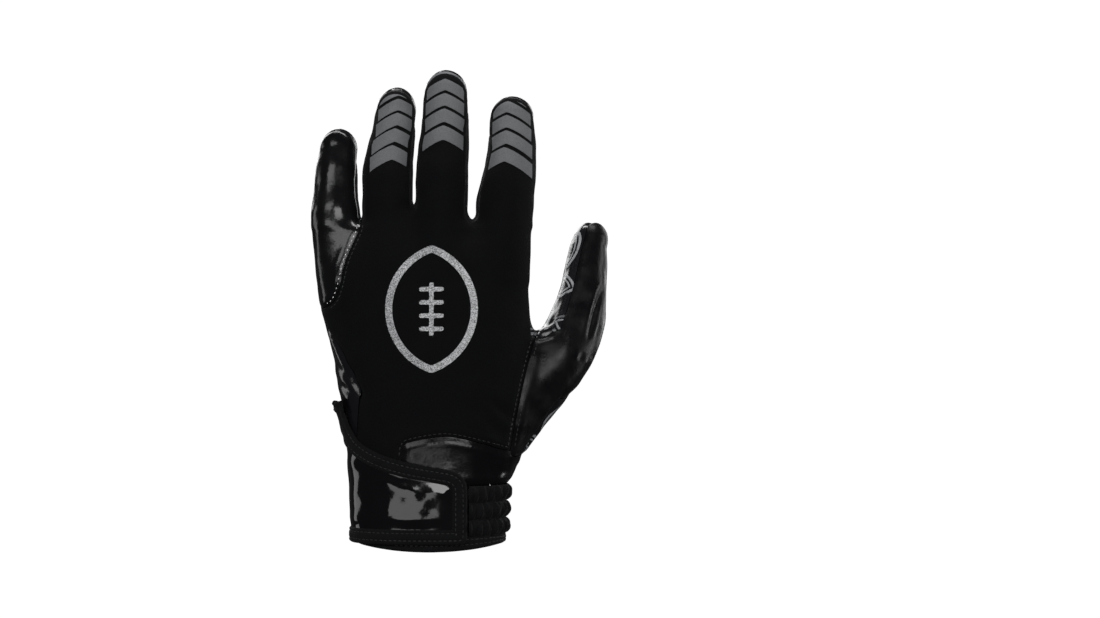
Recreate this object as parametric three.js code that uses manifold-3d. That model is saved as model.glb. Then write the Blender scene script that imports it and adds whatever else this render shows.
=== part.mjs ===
// A left-hand receiver glove for American football, hollow and in the form that a hand gives it.
// Millimetres. The fingers point up (+Z), the back of the hand faces -Y and the thumb is at +X.
// The origin is the middle of the wrist opening.
import * as THREE from "three";
import { mergeVertices } from "three/addons/utils/BufferGeometryUtils.js";
import Module from "manifold-3d";

const wasm = await Module();
wasm.setup();

// Driving dimensions of the hand that fills the glove
const palmLength = 150; // wrist opening to the roots of the fingers
const palmBreadth = 98;
const palmDepth = 40;
const crownHeight = 0.8; // the palm's rounded top between the fingers
const crownPeak = 6.5; // how much higher it is between the ring and the middle finger
const crownPeakReach = 13;
const crownNarrowing = 0.6; // share of its breadth that the crown loses towards its top

const pinkyLength = 83;
const pinkyBreadth = 22.5;
const pinkyDepth = 20;
const ringLength = 89;
const ringBreadth = 22.5;
const ringDepth = 21;
const middleLength = 97;
const middleBreadth = 23.5;
const middleDepth = 22;
const indexLength = 85;
const indexBreadth = 24.5;
const indexDepth = 21.5;
const thumbLength = 123;
const thumbBreadth = 29;
const thumbDepth = 31;

// Driving dimensions of the panels
const wall = 1.4; // leather or knit
const pieceGap = 0.3; // clear space between neighbouring pieces
const seamDrop = 1; // the back seams of the fingers lie this far behind their middle
const fourchetteBreadth = 7; // side strips between the fingers
const fourchetteStart = 0.9; // share of palmLength at which the side strips start
const fourchetteEnd = 0.86; // share of a finger at which they end
const fourchetteTaper = 0.15; // share of a finger over which they narrow before their end
const tipWrap = 0.25; // share of a finger's depth by which the palm leather comes over its tip
const fingerSeamBlend = 0.08; // share of palmLength over which the palm's seam turns into the fingers' seams
const padNormalAcross = -0.9; // the thumb's printed pad faces this way, across the hand
const padNormalDepth = 0.43; // and this way, towards the palm side
const padMiddle = 0.75; // share of the thumb at which the pad's seam is halfway across it
const padHeelTop = 0.72; // share of palmLength up to which the thumb's root stays plain on the back
const padHeelDepth = 2;
const hemHeight = 7;
const hemRise = 5; // how much higher the rim would be at the ends of its shaped breadth
const hemProud = 0.9; // how far the hem stands out from the palm
const hemHalfBreadth = 0.432; // half the breadth over which the rim is shaped, as a share of palmBreadth
const patchTop = 49.5;
const patchLeft = -12.4;
const patchCorner = 5;
const patchPeak = 3; // how much higher its top edge is in the middle of the wrist
const patchPeakAcross = 0.1;
const elasticTop = 30;
const elasticLeft = 18; // where the gathers start on the back
const elasticPalmLeft = 27; // where they start on the palm side
const elasticLobes = 3;
const elasticLobeDepth = 3.2;
const elasticPuckerDepth = 0.7;
const elasticPuckers = 36; // upright puckers on the whole round of the wrist

// Driving dimensions of the closing strap
const strapThickness = 1.5;
const strapBindingProud = 0.6; // how far the binding stands over the strap
const strapBindingBreadth = 7;
const strapBottom = 3.5;
const strapTop = 39;
const strapEnd = 17.5; // its free end, towards the thumb
const strapEndCorner = 9;
const strapLowCorner = 2;
const strapEndRise = 2; // how much lower the top edge is at the free end than in the middle
const strapRootTop = 68; // its root runs up the outer edge of the hand
const strapRootBreadth = 11;
const strapWrap = 4; // how far it wraps past the edge of the hand to the palm side

// Driving dimensions of the printed films
const filmThickness = 0.5;
const bandPitch = 8.7;
const bandFill = 0.8; // share of its pitch that a band covers
const bandPitchShrink = 0.55; // each pitch is this much shorter than the one below
const bandSpread = 0.43; // half the breadth of a band, as a share of the finger's breadth
const bandSlope = 0.5; // how steeply its two arms fall
const emblemHeight = 58;
const emblemBreadth = 42;
const emblemLine = 3.2;
const emblemAcross = 1;
const emblemUp = 110;
const laceLength = 24;
const laceBreadth = 11;
const laceCount = 4;
const laceSpan = 18; // between the lowest and the highest lace
const laceLine = 2;

// How finely the round forms are faceted
const palmSides = 30;
const palmRows = 12;
const digitSides = 12;
const crownSteps = 3;
const crownTopStep = 0.6; // part of a step at which the crown ends in a flat top
const capSteps = 3;
const capTopStep = 0.5; // part of a step at which a fingertip ends in a flat top
const elasticSides = 64;
const elasticStepsPerLobe = 4;
const seamRowsPerPalm = 15;
const seamRowsOverPalm = 8;
const seamGapStep = 0.8; // half the width over which a seam changes from one finger to the next
const rimSteps = 12;
const ovalSteps = 7;
const flatness = 0.05; // edges that bend the surface by less than this are taken out
const reach = 400; // longer than the glove, for cutting volumes
const hemAllowance = 6; // the layers run on this far below the opening before the rim is cut

// Palm sections from the wrist opening up: shares of palmLength, palmBreadth and palmDepth
const palmSections = [
  { up: 0.0, left: -0.352, right: 0.342, back: -0.5, front: 0.52, power: 2.2 },
  { up: 0.1, left: -0.352, right: 0.345, back: -0.5, front: 0.52, power: 2.2 },
  { up: 0.2, left: -0.357, right: 0.355, back: -0.49, front: 0.53, power: 2.2 },
  { up: 0.3, left: -0.37, right: 0.39, back: -0.47, front: 0.55, power: 2.3 },
  { up: 0.4, left: -0.405, right: 0.44, back: -0.45, front: 0.58, power: 2.3 },
  { up: 0.5, left: -0.438, right: 0.465, back: -0.44, front: 0.58, power: 2.4 },
  { up: 0.6, left: -0.465, right: 0.47, back: -0.43, front: 0.53, power: 2.4 },
  { up: 0.7, left: -0.497, right: 0.462, back: -0.415, front: 0.45, power: 2.4 },
  { up: 0.8, left: -0.522, right: 0.455, back: -0.395, front: 0.38, power: 2.4 },
  { up: 0.9, left: -0.53, right: 0.452, back: -0.345, front: 0.3, power: 2.3 },
  { up: 1.0, left: -0.49, right: 0.42, back: -0.215, front: 0.2, power: 2.2 },
];

// Soft dents and swells of the palm side: centre and spread as shares of palmBreadth and palmLength,
// depth as a share of palmDepth (a swell is negative)
const palmDents = [
  { across: 0.02, up: 0.62, spreadAcross: 0.2, spreadUp: 0.2, depth: 0.11 },
  { across: 0.1, up: 0.36, spreadAcross: 0.1, spreadUp: 0.16, depth: 0.08 },
  { across: 0.33, up: 0.46, spreadAcross: 0.17, spreadUp: 0.17, depth: -0.09 },
  { across: -0.3, up: 0.42, spreadAcross: 0.16, spreadUp: 0.2, depth: -0.05 },
  { across: -0.1, up: 0.86, spreadAcross: 0.5, spreadUp: 0.06, depth: -0.03 },
];

// Digits. Root: shares of palmBreadth, palmDepth and palmLength. Lean and curl: how far the tip lies
// across and towards the palm, as shares of the digit's length. Sections: shares of the length (along
// and bow, towards the palm) and of the breadth and depth.
const digits = {
  pinky: {
    length: pinkyLength,
    breadth: pinkyBreadth,
    depth: pinkyDepth,
    root: { across: -0.423, back: 0.05, up: 0.747 },
    lean: -0.03,
    curl: 0.19,
    sections: [
      { along: 0.0, across: 0.0, bow: 0.0, breadth: 0.75, depth: 0.8 },
      { along: 0.25, across: -0.02, bow: -0.04, breadth: 0.93, depth: 0.95 },
      { along: 0.48, across: -0.07, bow: -0.065, breadth: 1.0, depth: 1.0 },
      { along: 0.6, across: -0.06, bow: -0.06, breadth: 0.91, depth: 0.95 },
      { along: 0.77, across: -0.03, bow: -0.045, breadth: 0.82, depth: 0.87 },
      { along: 0.88, across: -0.01, bow: -0.025, breadth: 0.76, depth: 0.8 },
    ],
  },
  ring: {
    length: ringLength,
    breadth: ringBreadth,
    depth: ringDepth,
    root: { across: -0.209, back: -0.02, up: 0.833 },
    lean: 0.041,
    curl: 0.19,
    sections: [
      { along: 0.0, across: 0.0, bow: 0.0, breadth: 0.9, depth: 0.86 },
      { along: 0.22, across: -0.02, bow: -0.04, breadth: 0.98, depth: 0.96 },
      { along: 0.39, across: -0.04, bow: -0.06, breadth: 1.0, depth: 1.0 },
      { along: 0.56, across: -0.07, bow: -0.062, breadth: 1.0, depth: 0.98 },
      { along: 0.77, across: 0.01, bow: -0.045, breadth: 0.86, depth: 0.9 },
      { along: 0.88, across: 0.02, bow: -0.025, breadth: 0.8, depth: 0.82 },
    ],
  },
  middle: {
    length: middleLength,
    breadth: middleBreadth,
    depth: middleDepth,
    root: { across: 0.047, back: -0.07, up: 0.833 },
    lean: 0.015,
    curl: 0.185,
    sections: [
      { along: 0.0, across: 0.0, bow: 0.0, breadth: 0.9, depth: 0.86 },
      { along: 0.2, across: 0.0, bow: -0.04, breadth: 0.98, depth: 0.96 },
      { along: 0.36, across: -0.01, bow: -0.06, breadth: 1.0, depth: 1.0 },
      { along: 0.52, across: 0.0, bow: -0.062, breadth: 1.0, depth: 0.98 },
      { along: 0.71, across: 0.02, bow: -0.05, breadth: 0.92, depth: 0.91 },
      { along: 0.88, across: 0.02, bow: -0.025, breadth: 0.85, depth: 0.82 },
    ],
  },
  index: {
    length: indexLength,
    breadth: indexBreadth,
    depth: indexDepth,
    root: { across: 0.343, back: -0.02, up: 0.833 },
    lean: 0.026,
    curl: 0.2,
    sections: [
      { along: 0.0, across: -0.02, bow: 0.0, breadth: 0.86, depth: 0.86 },
      { along: 0.2, across: -0.02, bow: -0.04, breadth: 0.98, depth: 0.96 },
      { along: 0.41, across: -0.01, bow: -0.06, breadth: 1.07, depth: 1.0 },
      { along: 0.59, across: 0.05, bow: -0.062, breadth: 0.98, depth: 0.97 },
      { along: 0.72, across: 0.075, bow: -0.052, breadth: 0.9, depth: 0.9 },
      { along: 0.89, across: 0.06, bow: -0.025, breadth: 0.82, depth: 0.82 },
    ],
  },
  thumb: {
    length: thumbLength,
    breadth: thumbBreadth,
    depth: thumbDepth,
    root: { across: 0.286, back: 0.15, up: 0.28 },
    lean: 0.391,
    curl: 0.244,
    sections: [
      { along: 0.0, across: 0.0, bow: 0.0, breadth: 0.62, depth: 0.72 },
      { along: 0.2, across: 0.2, bow: -0.03, breadth: 0.8, depth: 0.94 },
      { along: 0.42, across: 0.36, bow: -0.048, breadth: 1.0, depth: 1.0 },
      { along: 0.6, across: 0.4, bow: -0.039, breadth: 0.9, depth: 0.86 },
      { along: 0.74, across: 0.27, bow: -0.019, breadth: 0.76, depth: 0.72 },
      { along: 0.86, across: 0.12, bow: -0.004, breadth: 0.68, depth: 0.64 },
      { along: 0.92, across: 0.06, bow: 0.0, breadth: 0.58, depth: 0.58 },
    ],
  },
};

// Where the palm leather meets the back of the glove on its little-finger edge:
// up as a share of palmLength, and depth as a share of palmDepth
const outerEdgeSeam = [
  { up: 0.0, depth: -0.2 },
  { up: 0.3, depth: -0.2 },
  { up: 0.43, depth: -0.27 },
  { up: 0.5, depth: -0.3 },
  { up: 0.6, depth: -0.24 },
  { up: 0.68, depth: -0.06 },
  { up: 0.76, depth: 0.06 },
  { up: 0.9, depth: 0.16 },
  { up: 1.0, depth: 0.1 },
];

// Seam between the back of the hand and the thumb, from the web down: shares of palmBreadth and palmLength
const thumbSeam = [
  { across: 0.56, up: 1.7 },
  { across: 0.55, up: 0.78 },
  { across: 0.52, up: 0.7 },
  { across: 0.47, up: 0.6 },
  { across: 0.42, up: 0.46 },
  { across: 0.38, up: 0.32 },
  { across: 0.38, up: 0.285 },
  { across: 2.0, up: 0.285 },
];

// Seam between the little finger's panel and the back of the hand, from the finger gap down
const pinkySeam = [
  { across: -0.327, up: 1.7 },
  { across: -0.327, up: 1.0 },
  { across: -0.36, up: 0.93 },
  { across: -0.395, up: 0.87 },
  { across: -0.425, up: 0.79 },
  { across: -0.47, up: 0.745 },
  { across: -2.0, up: 0.72 },
];

// Bands of each finger: their peak and the height of the lowest band's peak, as shares of the breadth
// and the length of the finger, and how many whole bands there are
const bandedFingers = [
  { finger: "ring", peak: 0.22, firstUp: 0.6, bands: 4 },
  { finger: "middle", peak: 0.0, firstUp: 0.645, bands: 4 },
  { finger: "index", peak: -0.26, firstUp: 0.62, bands: 4 },
];

// Catmull-Rom value of one column of a table at a share of its first column
function columnAt(rows, key, column, at) {
  const last = rows.length - 1;
  let i = 0;
  while (i < last - 1 && at > rows[i + 1][key]) {
    i += 1;
  }
  const [p0, p1, p2, p3] = [i - 1, i, i + 1, i + 2].map((n) => rows[Math.min(Math.max(n, 0), last)]);
  const span = p2[key] - p1[key];
  const t = Math.min(Math.max((at - p1[key]) / span, 0), 1);
  const startSlope = ((p2[column] - p0[column]) / (p2[key] - p0[key])) * span;
  const endSlope = ((p3[column] - p1[column]) / (p3[key] - p1[key])) * span;
  const [t2, t3] = [t * t, t * t * t];
  return (
    (2 * t3 - 3 * t2 + 1) * p1[column] +
    (t3 - 2 * t2 + t) * startSlope +
    (3 * t2 - 2 * t3) * p2[column] +
    (t3 - t2) * endSlope
  );
}

// Solid from a list of vertices and triangles, turned inside out if its faces point in
function solidOf(vertices, triangles) {
  let volume = 0;
  for (const [a, b, c] of triangles) {
    volume += vertices[a].dot(vertices[b].clone().cross(vertices[c]));
  }
  const outward = volume > 0 ? triangles : triangles.map(([a, b, c]) => [a, c, b]);
  const vertProperties = new Float32Array(vertices.flatMap((v) => [v.x, v.y, v.z]));
  return new wasm.Manifold(
    new wasm.Mesh({ numProp: 3, vertProperties, triVerts: new Uint32Array(outward.flat()) })
  );
}

// Closed loft through rings of equally many points, with a fan of triangles over each end
function loft(rings) {
  const sides = rings[0].length;
  const vertices = rings.flat();
  const triangles = [];
  for (let row = 0; row < rings.length - 1; row += 1) {
    for (let i = 0; i < sides; i += 1) {
      const j = (i + 1) % sides;
      const [a, b] = [row * sides + i, row * sides + j];
      triangles.push([a, b, b + sides], [a, b + sides, a + sides]);
    }
  }
  for (const [row, turned] of [[0, true], [rings.length - 1, false]]) {
    const middle = new THREE.Vector3();
    rings[row].forEach((point) => middle.addScaledVector(point, 1 / sides));
    const centre = vertices.push(middle) - 1;
    for (let i = 0; i < sides; i += 1) {
      const [a, b] = [row * sides + i, row * sides + ((i + 1) % sides)];
      triangles.push(turned ? [b, a, centre] : [a, b, centre]);
    }
  }
  return solidOf(vertices, triangles);
}

// Solid of any closed three.js geometry
function solidFromGeometry(geometry) {
  const bare = new THREE.BufferGeometry();
  bare.setAttribute("position", geometry.getAttribute("position"));
  if (geometry.index) {
    bare.setIndex(geometry.index);
  }
  const merged = mergeVertices(bare, 1e-5);
  const vertices = [];
  for (let i = 0; i < merged.getAttribute("position").count; i += 1) {
    vertices.push(new THREE.Vector3().fromBufferAttribute(merged.getAttribute("position"), i));
  }
  const triangles = [];
  for (let i = 0; i < merged.index.count; i += 3) {
    triangles.push([0, 1, 2].map((n) => merged.index.getX(i + n)));
  }
  return solidOf(vertices, triangles);
}

// Straight solid along Y over an outline in X and Z
function prism(shape, yLow = -reach, yHigh = reach) {
  const settings = { depth: yHigh - yLow, bevelEnabled: false, curveSegments: 8 };
  const geometry = new THREE.ExtrudeGeometry(shape, settings);
  geometry.rotateX(Math.PI / 2);
  geometry.translate(0, yHigh, 0);
  return solidFromGeometry(geometry);
}

function shapeOf(points) {
  return new THREE.Shape(points.map(([x, z]) => new THREE.Vector2(x, z)));
}

function rectangle(left, right, low, high) {
  return shapeOf([[left, low], [right, low], [right, high], [left, high]]);
}

// Outline of a strip of even width along a seam
function seamStrip(points, width) {
  const sideOf = (point, i, sign) => {
    const before = points[Math.max(i - 1, 0)];
    const after = points[Math.min(i + 1, points.length - 1)];
    const along = new THREE.Vector2(after[0] - before[0], after[1] - before[1]).normalize();
    return [point[0] - (sign * along.y * width) / 2, point[1] + (sign * along.x * width) / 2];
  };
  const one = points.map((point, i) => sideOf(point, i, 1));
  const other = points.map((point, i) => sideOf(point, i, -1));
  return shapeOf([...one, ...other.reverse()]);
}

// Ring of the palm's rounded section at a height, grown outwards by a function of the angle
function sectionRing(z, sides, growAt, scaleAcross = 1, scaleDepth = 1) {
  const [left, right, back, front, power] = ["left", "right", "back", "front", "power"].map((column) =>
    columnAt(palmSections, "up", column, z / palmLength)
  );
  const ring = [];
  for (let i = 0; i < sides; i += 1) {
    const angle = (2 * Math.PI * i) / sides;
    const [cos, sin] = [Math.cos(angle), Math.sin(angle)];
    const halfBreadth = ((right - left) / 2) * palmBreadth + growAt(angle);
    const halfDepth = ((front - back) / 2) * palmDepth + growAt(angle);
    const across = scaleAcross * halfBreadth * Math.sign(cos) * Math.abs(cos) ** (2 / power);
    const depth = scaleDepth * halfDepth * Math.sign(sin) * Math.abs(sin) ** (2 / power);
    const x = ((left + right) / 2) * palmBreadth + across;
    const y = ((back + front) / 2) * palmDepth + depth;
    ring.push(new THREE.Vector3(x, y - Math.max(sin, 0) * dentAt(x, z), z));
  }
  return ring;
}

// Palm solid, grown outwards by an offset
function palmSolid(offset) {
  const rings = [];
  const ringAt = (up, lift, scaleAcross, scaleDepth) => {
    const ring = sectionRing(up * palmLength, palmSides, () => offset, scaleAcross, scaleDepth);
    ring.forEach((point) => point.setZ(point.z + lift * (crownAt(point.x) + offset)));
    rings.push(ring);
  };
  ringAt(-hemAllowance / palmLength, 0, 1, 1);
  for (let row = 0; row <= palmRows; row += 1) {
    ringAt(row / palmRows, 0, 1, 1);
  }
  for (let step = 1; step <= crownSteps; step += 1) {
    const turn = (Math.PI / 2) * (step / (crownSteps + crownTopStep));
    ringAt(1, Math.sin(turn), 1 - crownNarrowing + crownNarrowing * Math.cos(turn), Math.cos(turn));
  }
  return loft(rings);
}

// How deep the palm side lies below its plain section
function dentAt(x, z) {
  return palmDents.reduce((sum, dent) => {
    const across = (x / palmBreadth - dent.across) / dent.spreadAcross;
    const up = (z / palmLength - dent.up) / dent.spreadUp;
    return sum + dent.depth * palmDepth * Math.exp(-(across ** 2) - up ** 2);
  }, 0);
}

// Height of the palm's crown over the finger roots
function crownAt(x) {
  const peakX = (digitCentre(digits.ring, 0.3).x + digitCentre(digits.middle, 0.3).x) / 2;
  return crownHeight + crownPeak * Math.exp(-(((x - peakX) / crownPeakReach) ** 2));
}

// Root, direction and side axes of a digit
function digitFrame(digit) {
  const { across, back, up } = digit.root;
  const root = new THREE.Vector3(across * palmBreadth, back * palmDepth, up * palmLength);
  const rise = Math.sqrt(1 - digit.lean ** 2 - digit.curl ** 2);
  const along = new THREE.Vector3(digit.lean, digit.curl, rise);
  const side = new THREE.Vector3(1, 0, 0).addScaledVector(along, -along.x).normalize();
  return { root, along, side, inward: along.clone().cross(side) };
}

// Middle of a digit at a share of its length
function digitCentre(digit, share) {
  const { root, along, side, inward } = digitFrame(digit);
  const across = columnAt(digit.sections, "along", "across", share) * digit.breadth;
  const bow = columnAt(digit.sections, "along", "bow", share) * digit.length;
  return root
    .addScaledVector(along, share * digit.length)
    .addScaledVector(side, across)
    .addScaledVector(inward, bow);
}

// Digit solid, grown outwards by an offset
function digitSolid(digit, offset) {
  const { along, side, inward } = digitFrame(digit);
  const rings = [];
  const ringAt = (share, scale, lift) => {
    const halfBreadth = columnAt(digit.sections, "along", "breadth", share) * digit.breadth / 2 + offset;
    const halfDepth = columnAt(digit.sections, "along", "depth", share) * digit.depth / 2 + offset;
    const centre = digitCentre(digit, share).addScaledVector(along, lift);
    const ring = [];
    for (let i = 0; i < digitSides; i += 1) {
      const angle = (2 * Math.PI * (i + 0.5)) / digitSides;
      ring.push(
        centre.clone()
          .addScaledVector(side, scale * halfBreadth * Math.cos(angle))
          .addScaledVector(inward, scale * halfDepth * Math.sin(angle))
      );
    }
    rings.push(ring);
  };
  const last = digit.sections[digit.sections.length - 1].along;
  digit.sections.forEach((section) => ringAt(section.along, 1, 0));
  const capLength = (1 - last) * digit.length + offset;
  for (let step = 1; step <= capSteps; step += 1) {
    const turn = (Math.PI / 2) * (step / (capSteps + capTopStep));
    ringAt(last, Math.cos(turn), capLength * Math.sin(turn));
  }
  return loft(rings);
}

// The whole hand, grown outwards by an offset
const handCache = new Map();
function handSolid(offset) {
  if (!handCache.has(offset)) {
    const parts = Object.values(digits).map((digit) => digitSolid(digit, offset));
    handCache.set(offset, parts.reduce((whole, part) => whole.add(part), palmSolid(offset)));
  }
  return handCache.get(offset);
}

const outlineOf = (rows) => rows.map(({ across, up }) => [across * palmBreadth, up * palmLength]);

// Middles of the three gaps between the fingers, across the hand, at a height
const fingerOrder = ["pinky", "ring", "middle", "index"];
function fingerGaps(z) {
  const edge = (name, sign) => {
    const digit = digits[name];
    const share = shareAtHeight(digit, z);
    const breadth = columnAt(digit.sections, "along", "breadth", share) * digit.breadth;
    return digitCentre(digit, share).x + (sign * breadth) / 2;
  };
  return [0, 1, 2].map((i) => (edge(fingerOrder[i], 1) + edge(fingerOrder[i + 1], -1)) / 2);
}

function shareAtHeight(digit, z) {
  const { root, along } = digitFrame(digit);
  return THREE.MathUtils.clamp((z - root.z) / (along.z * digit.length), 0, 1);
}

// Depth of the back seam (side = -1) or the palm seam (side = 1) at one place of the view from the back
function seamDepth(x, z, side) {
  const finger = fingerOrder[fingerGaps(Math.max(z, palmLength)).filter((gap) => x > gap).length];
  const digit = digits[finger];
  const share = shareAtHeight(digit, z);
  const centre = digitCentre(digit, share);
  const outerSide = (finger === "pinky" && x < centre.x) || (finger === "index" && x > centre.x);
  const narrowing = THREE.MathUtils.clamp((fourchetteEnd - share) / fourchetteTaper, 0, 1);
  const halfStrip = outerSide ? 0 : (fourchetteBreadth / 2) * narrowing;
  const overTip = THREE.MathUtils.clamp((share - fourchetteEnd) / (1 - fourchetteEnd), 0, 1);
  const onFinger = centre.y + seamDrop + side * halfStrip - overTip * digit.depth * tipWrap;
  const onPalm = x < 0 ? columnAt(outerEdgeSeam, "up", "depth", z / palmLength) * palmDepth : 0;
  const fingerShare = THREE.MathUtils.clamp((z / palmLength - fourchetteStart) / fingerSeamBlend, 0, 1);
  return onPalm + (onFinger - onPalm) * fingerShare;
}

// Solid of all that lies behind (side = -1) or in front of (side = 1) a seam, half a piece gap away from it
function halfBySeam(seamSide, side) {
  const edges = [-reach, -palmBreadth * 0.6, 0, palmBreadth * 0.6, reach];
  fingerGaps(palmLength).forEach((gap) => edges.push(gap - seamGapStep, gap + seamGapStep));
  fingerOrder.forEach((name) => edges.push(digitCentre(digits[name], 0.5).x));
  edges.sort((a, b) => a - b);
  const heights = [-reach];
  for (let row = -1; row <= seamRowsPerPalm + seamRowsOverPalm; row += 1) {
    heights.push((row / seamRowsPerPalm) * palmLength);
  }
  heights.push(reach);
  const columns = edges.length;
  const vertices = [];
  for (const far of [false, true]) {
    for (const z of heights) {
      for (const x of edges) {
        const y = far ? side * reach : seamDepth(x, z, seamSide) + (side * pieceGap) / 2;
        vertices.push(new THREE.Vector3(x, y, z));
      }
    }
  }
  const layer = columns * heights.length;
  const triangles = [];
  for (let row = 0; row < heights.length - 1; row += 1) {
    for (let i = 0; i < columns - 1; i += 1) {
      const a = row * columns + i;
      triangles.push([a, a + 1, a + columns + 1], [a, a + columns + 1, a + columns]);
      const b = a + layer;
      triangles.push([b, b + columns + 1, b + 1], [b, b + columns, b + columns + 1]);
    }
  }
  const rim = [];
  for (let i = 0; i < columns; i += 1) {
    rim.push(i);
  }
  for (let row = 1; row < heights.length; row += 1) {
    rim.push(row * columns + columns - 1);
  }
  for (let i = columns - 2; i >= 0; i -= 1) {
    rim.push((heights.length - 1) * columns + i);
  }
  for (let row = heights.length - 2; row >= 1; row -= 1) {
    rim.push(row * columns);
  }
  rim.forEach((a, n) => {
    const b = rim[(n + 1) % rim.length];
    triangles.push([b, a, a + layer], [b, a + layer, b + layer]);
  });
  return solidOf(vertices, triangles);
}

// Half space in front of a plane that faces along a normal
function halfSpace(point, normal, offset) {
  const box = new THREE.BoxGeometry(2 * reach, 2 * reach, 2 * reach);
  box.translate(0, 0, reach + offset);
  box.applyQuaternion(new THREE.Quaternion().setFromUnitVectors(new THREE.Vector3(0, 0, 1), normal));
  box.translate(point.x, point.y, point.z);
  return solidFromGeometry(box);
}

// Group that holds the finished pieces
const glove = new THREE.Group();

function addPiece(name, solid, color, roughness) {
  const { vertProperties, triVerts } = solid.simplify(flatness).getMesh();
  const geometry = new THREE.BufferGeometry();
  geometry.setAttribute("position", new THREE.BufferAttribute(vertProperties, 3));
  geometry.setIndex(new THREE.BufferAttribute(triVerts, 1));
  geometry.computeVertexNormals();
  const mesh = new THREE.Mesh(geometry, new THREE.MeshStandardMaterial({ color, roughness, metalness: 0 }));
  mesh.name = name;
  glove.add(mesh);
}

const knitColor = 0x16171a;
const glossColor = 0x0a0b0d;
const printColor = 0x6e7072;

// Regions of the glove in the view from the back
const thumbRegion = prism(shapeOf([...outlineOf(thumbSeam), [reach, reach]]));
const thumbCut = prism(seamStrip(outlineOf(thumbSeam), pieceGap));
const pinkyRegion = prism(shapeOf([...outlineOf(pinkySeam), [-reach, reach]]));
const pinkyCut = prism(seamStrip(outlineOf(pinkySeam), pieceGap));
const hemCut = prism(rectangle(-reach, reach, hemHeight, hemHeight + pieceGap));
const aboveHem = prism(rectangle(-reach, reach, hemHeight + pieceGap / 2, reach));

function elasticRegion(grow) {
  const low = -reach;
  const high = elasticTop + grow;
  return prism(rectangle(elasticLeft - grow, reach, low, high), -reach, 0)
    .add(prism(rectangle(elasticPalmLeft - grow, reach, low, high), -pieceGap, reach));
}

function patchRegion(grow) {
  const [left, top] = [patchLeft - grow, patchTop + grow];
  const shape = new THREE.Shape();
  shape.moveTo(left, -reach);
  shape.lineTo(left, top - patchCorner);
  shape.quadraticCurveTo(left, top, left + patchCorner, top);
  shape.lineTo(palmBreadth * patchPeakAcross, top + patchPeak);
  shape.lineTo(palmBreadth * 0.36, palmLength * 0.3 + grow);
  shape.lineTo(reach, palmLength * 0.285 + grow);
  shape.lineTo(reach, -reach);
  return prism(shape);
}

// Main wall of the glove, cut into its panels
function addPanels() {
  const shell = handSolid(0).subtract(handSolid(-wall)).intersect(aboveHem);
  const thumbShell = shell.subtract(thumbCut).intersect(thumbRegion);
  const handShell = shell.subtract(thumbCut).subtract(thumbRegion).subtract(elasticRegion(pieceGap));
  const back = handShell.intersect(halfBySeam(-1, -1));
  const palm = handShell.intersect(halfBySeam(1, 1));
  const sides = handShell.intersect(halfBySeam(-1, 1)).intersect(halfBySeam(1, -1));

  const pinky = back.subtract(pinkyCut).intersect(pinkyRegion);
  const backOfHand = back.subtract(pinkyCut).subtract(pinkyRegion);
  addPiece("pinky_panel", pinky, glossColor, 0.2);
  addPiece("back_panel", backOfHand.subtract(patchRegion(pieceGap)), knitColor, 0.9);
  addPiece("wrist_patch", backOfHand.intersect(patchRegion(0)), glossColor, 0.2);
  addPiece("palm_panel", palm, glossColor, 0.25);

  for (let i = 0; i < fingerOrder.length - 1; i += 1) {
    const [left, right] = [digits[fingerOrder[i]], digits[fingerOrder[i + 1]]];
    const region = prism(
      rectangle(digitCentre(left, 0.5).x, digitCentre(right, 0.5).x, palmLength * fourchetteStart, reach)
    );
    const strip = sides.intersect(region);
    addPiece(`fourchette_${fingerOrder[i]}_${fingerOrder[i + 1]}`, strip, knitColor, 0.8);
  }

  const padNormal = new THREE.Vector3(padNormalAcross, padNormalDepth, 0).normalize();
  const padPoint = digitCentre(digits.thumb, padMiddle);
  const heelTop = palmLength * padHeelTop;
  const dorsalHeel = (grow) =>
    prism(rectangle(-reach, padPoint.x, -reach, heelTop + grow), -reach, padHeelDepth + grow);
  const backNormal = padNormal.clone().negate();
  const pad = halfSpace(padPoint, padNormal, pieceGap / 2).subtract(dorsalHeel(pieceGap / 2));
  const notPad = halfSpace(padPoint, backNormal, pieceGap / 2).add(dorsalHeel(-pieceGap / 2));
  addPiece("thumb_pad", thumbShell.intersect(pad), glossColor, 0.25);
  addPiece("thumb_back", thumbShell.intersect(notPad), knitColor, 0.5);
}

// Matte binding round the wrist opening, its rim a shallow arc
function addHem() {
  const half = palmBreadth * hemHalfBreadth;
  const rim = [];
  for (let i = 0; i <= rimSteps; i += 1) {
    const across = 2 * (i / rimSteps) - 1;
    rim.push([across * half, hemRise * across ** 2]);
  }
  const region = prism(shapeOf([...rim, [half, hemHeight], [-half, hemHeight]]));
  addPiece("cuff_hem", palmSolid(hemProud).subtract(palmSolid(-wall)).intersect(region), knitColor, 0.9);
}

// Shirred elastic at the thumb side of the wrist: stacked lobes with upright puckers
function addElastic() {
  const lobeHeight = (elasticTop - hemHeight) / elasticLobes;
  const rings = [];
  const rows = elasticLobes * elasticStepsPerLobe;
  for (let row = 0; row <= rows; row += 1) {
    const z = hemHeight + pieceGap + ((elasticTop - pieceGap - hemHeight) * row) / rows;
    const lobe = Math.abs(Math.sin((Math.PI * (z - hemHeight)) / lobeHeight));
    const growAt = (angle) =>
      lobe * (elasticLobeDepth + elasticPuckerDepth * Math.cos(elasticPuckers * angle + row));
    rings.push(sectionRing(z, elasticSides, growAt));
  }
  const gathers = loft(rings).subtract(palmSolid(-wall)).intersect(elasticRegion(0)).intersect(aboveHem);
  addPiece("elastic_gather", gathers, knitColor, 0.9);
}

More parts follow.
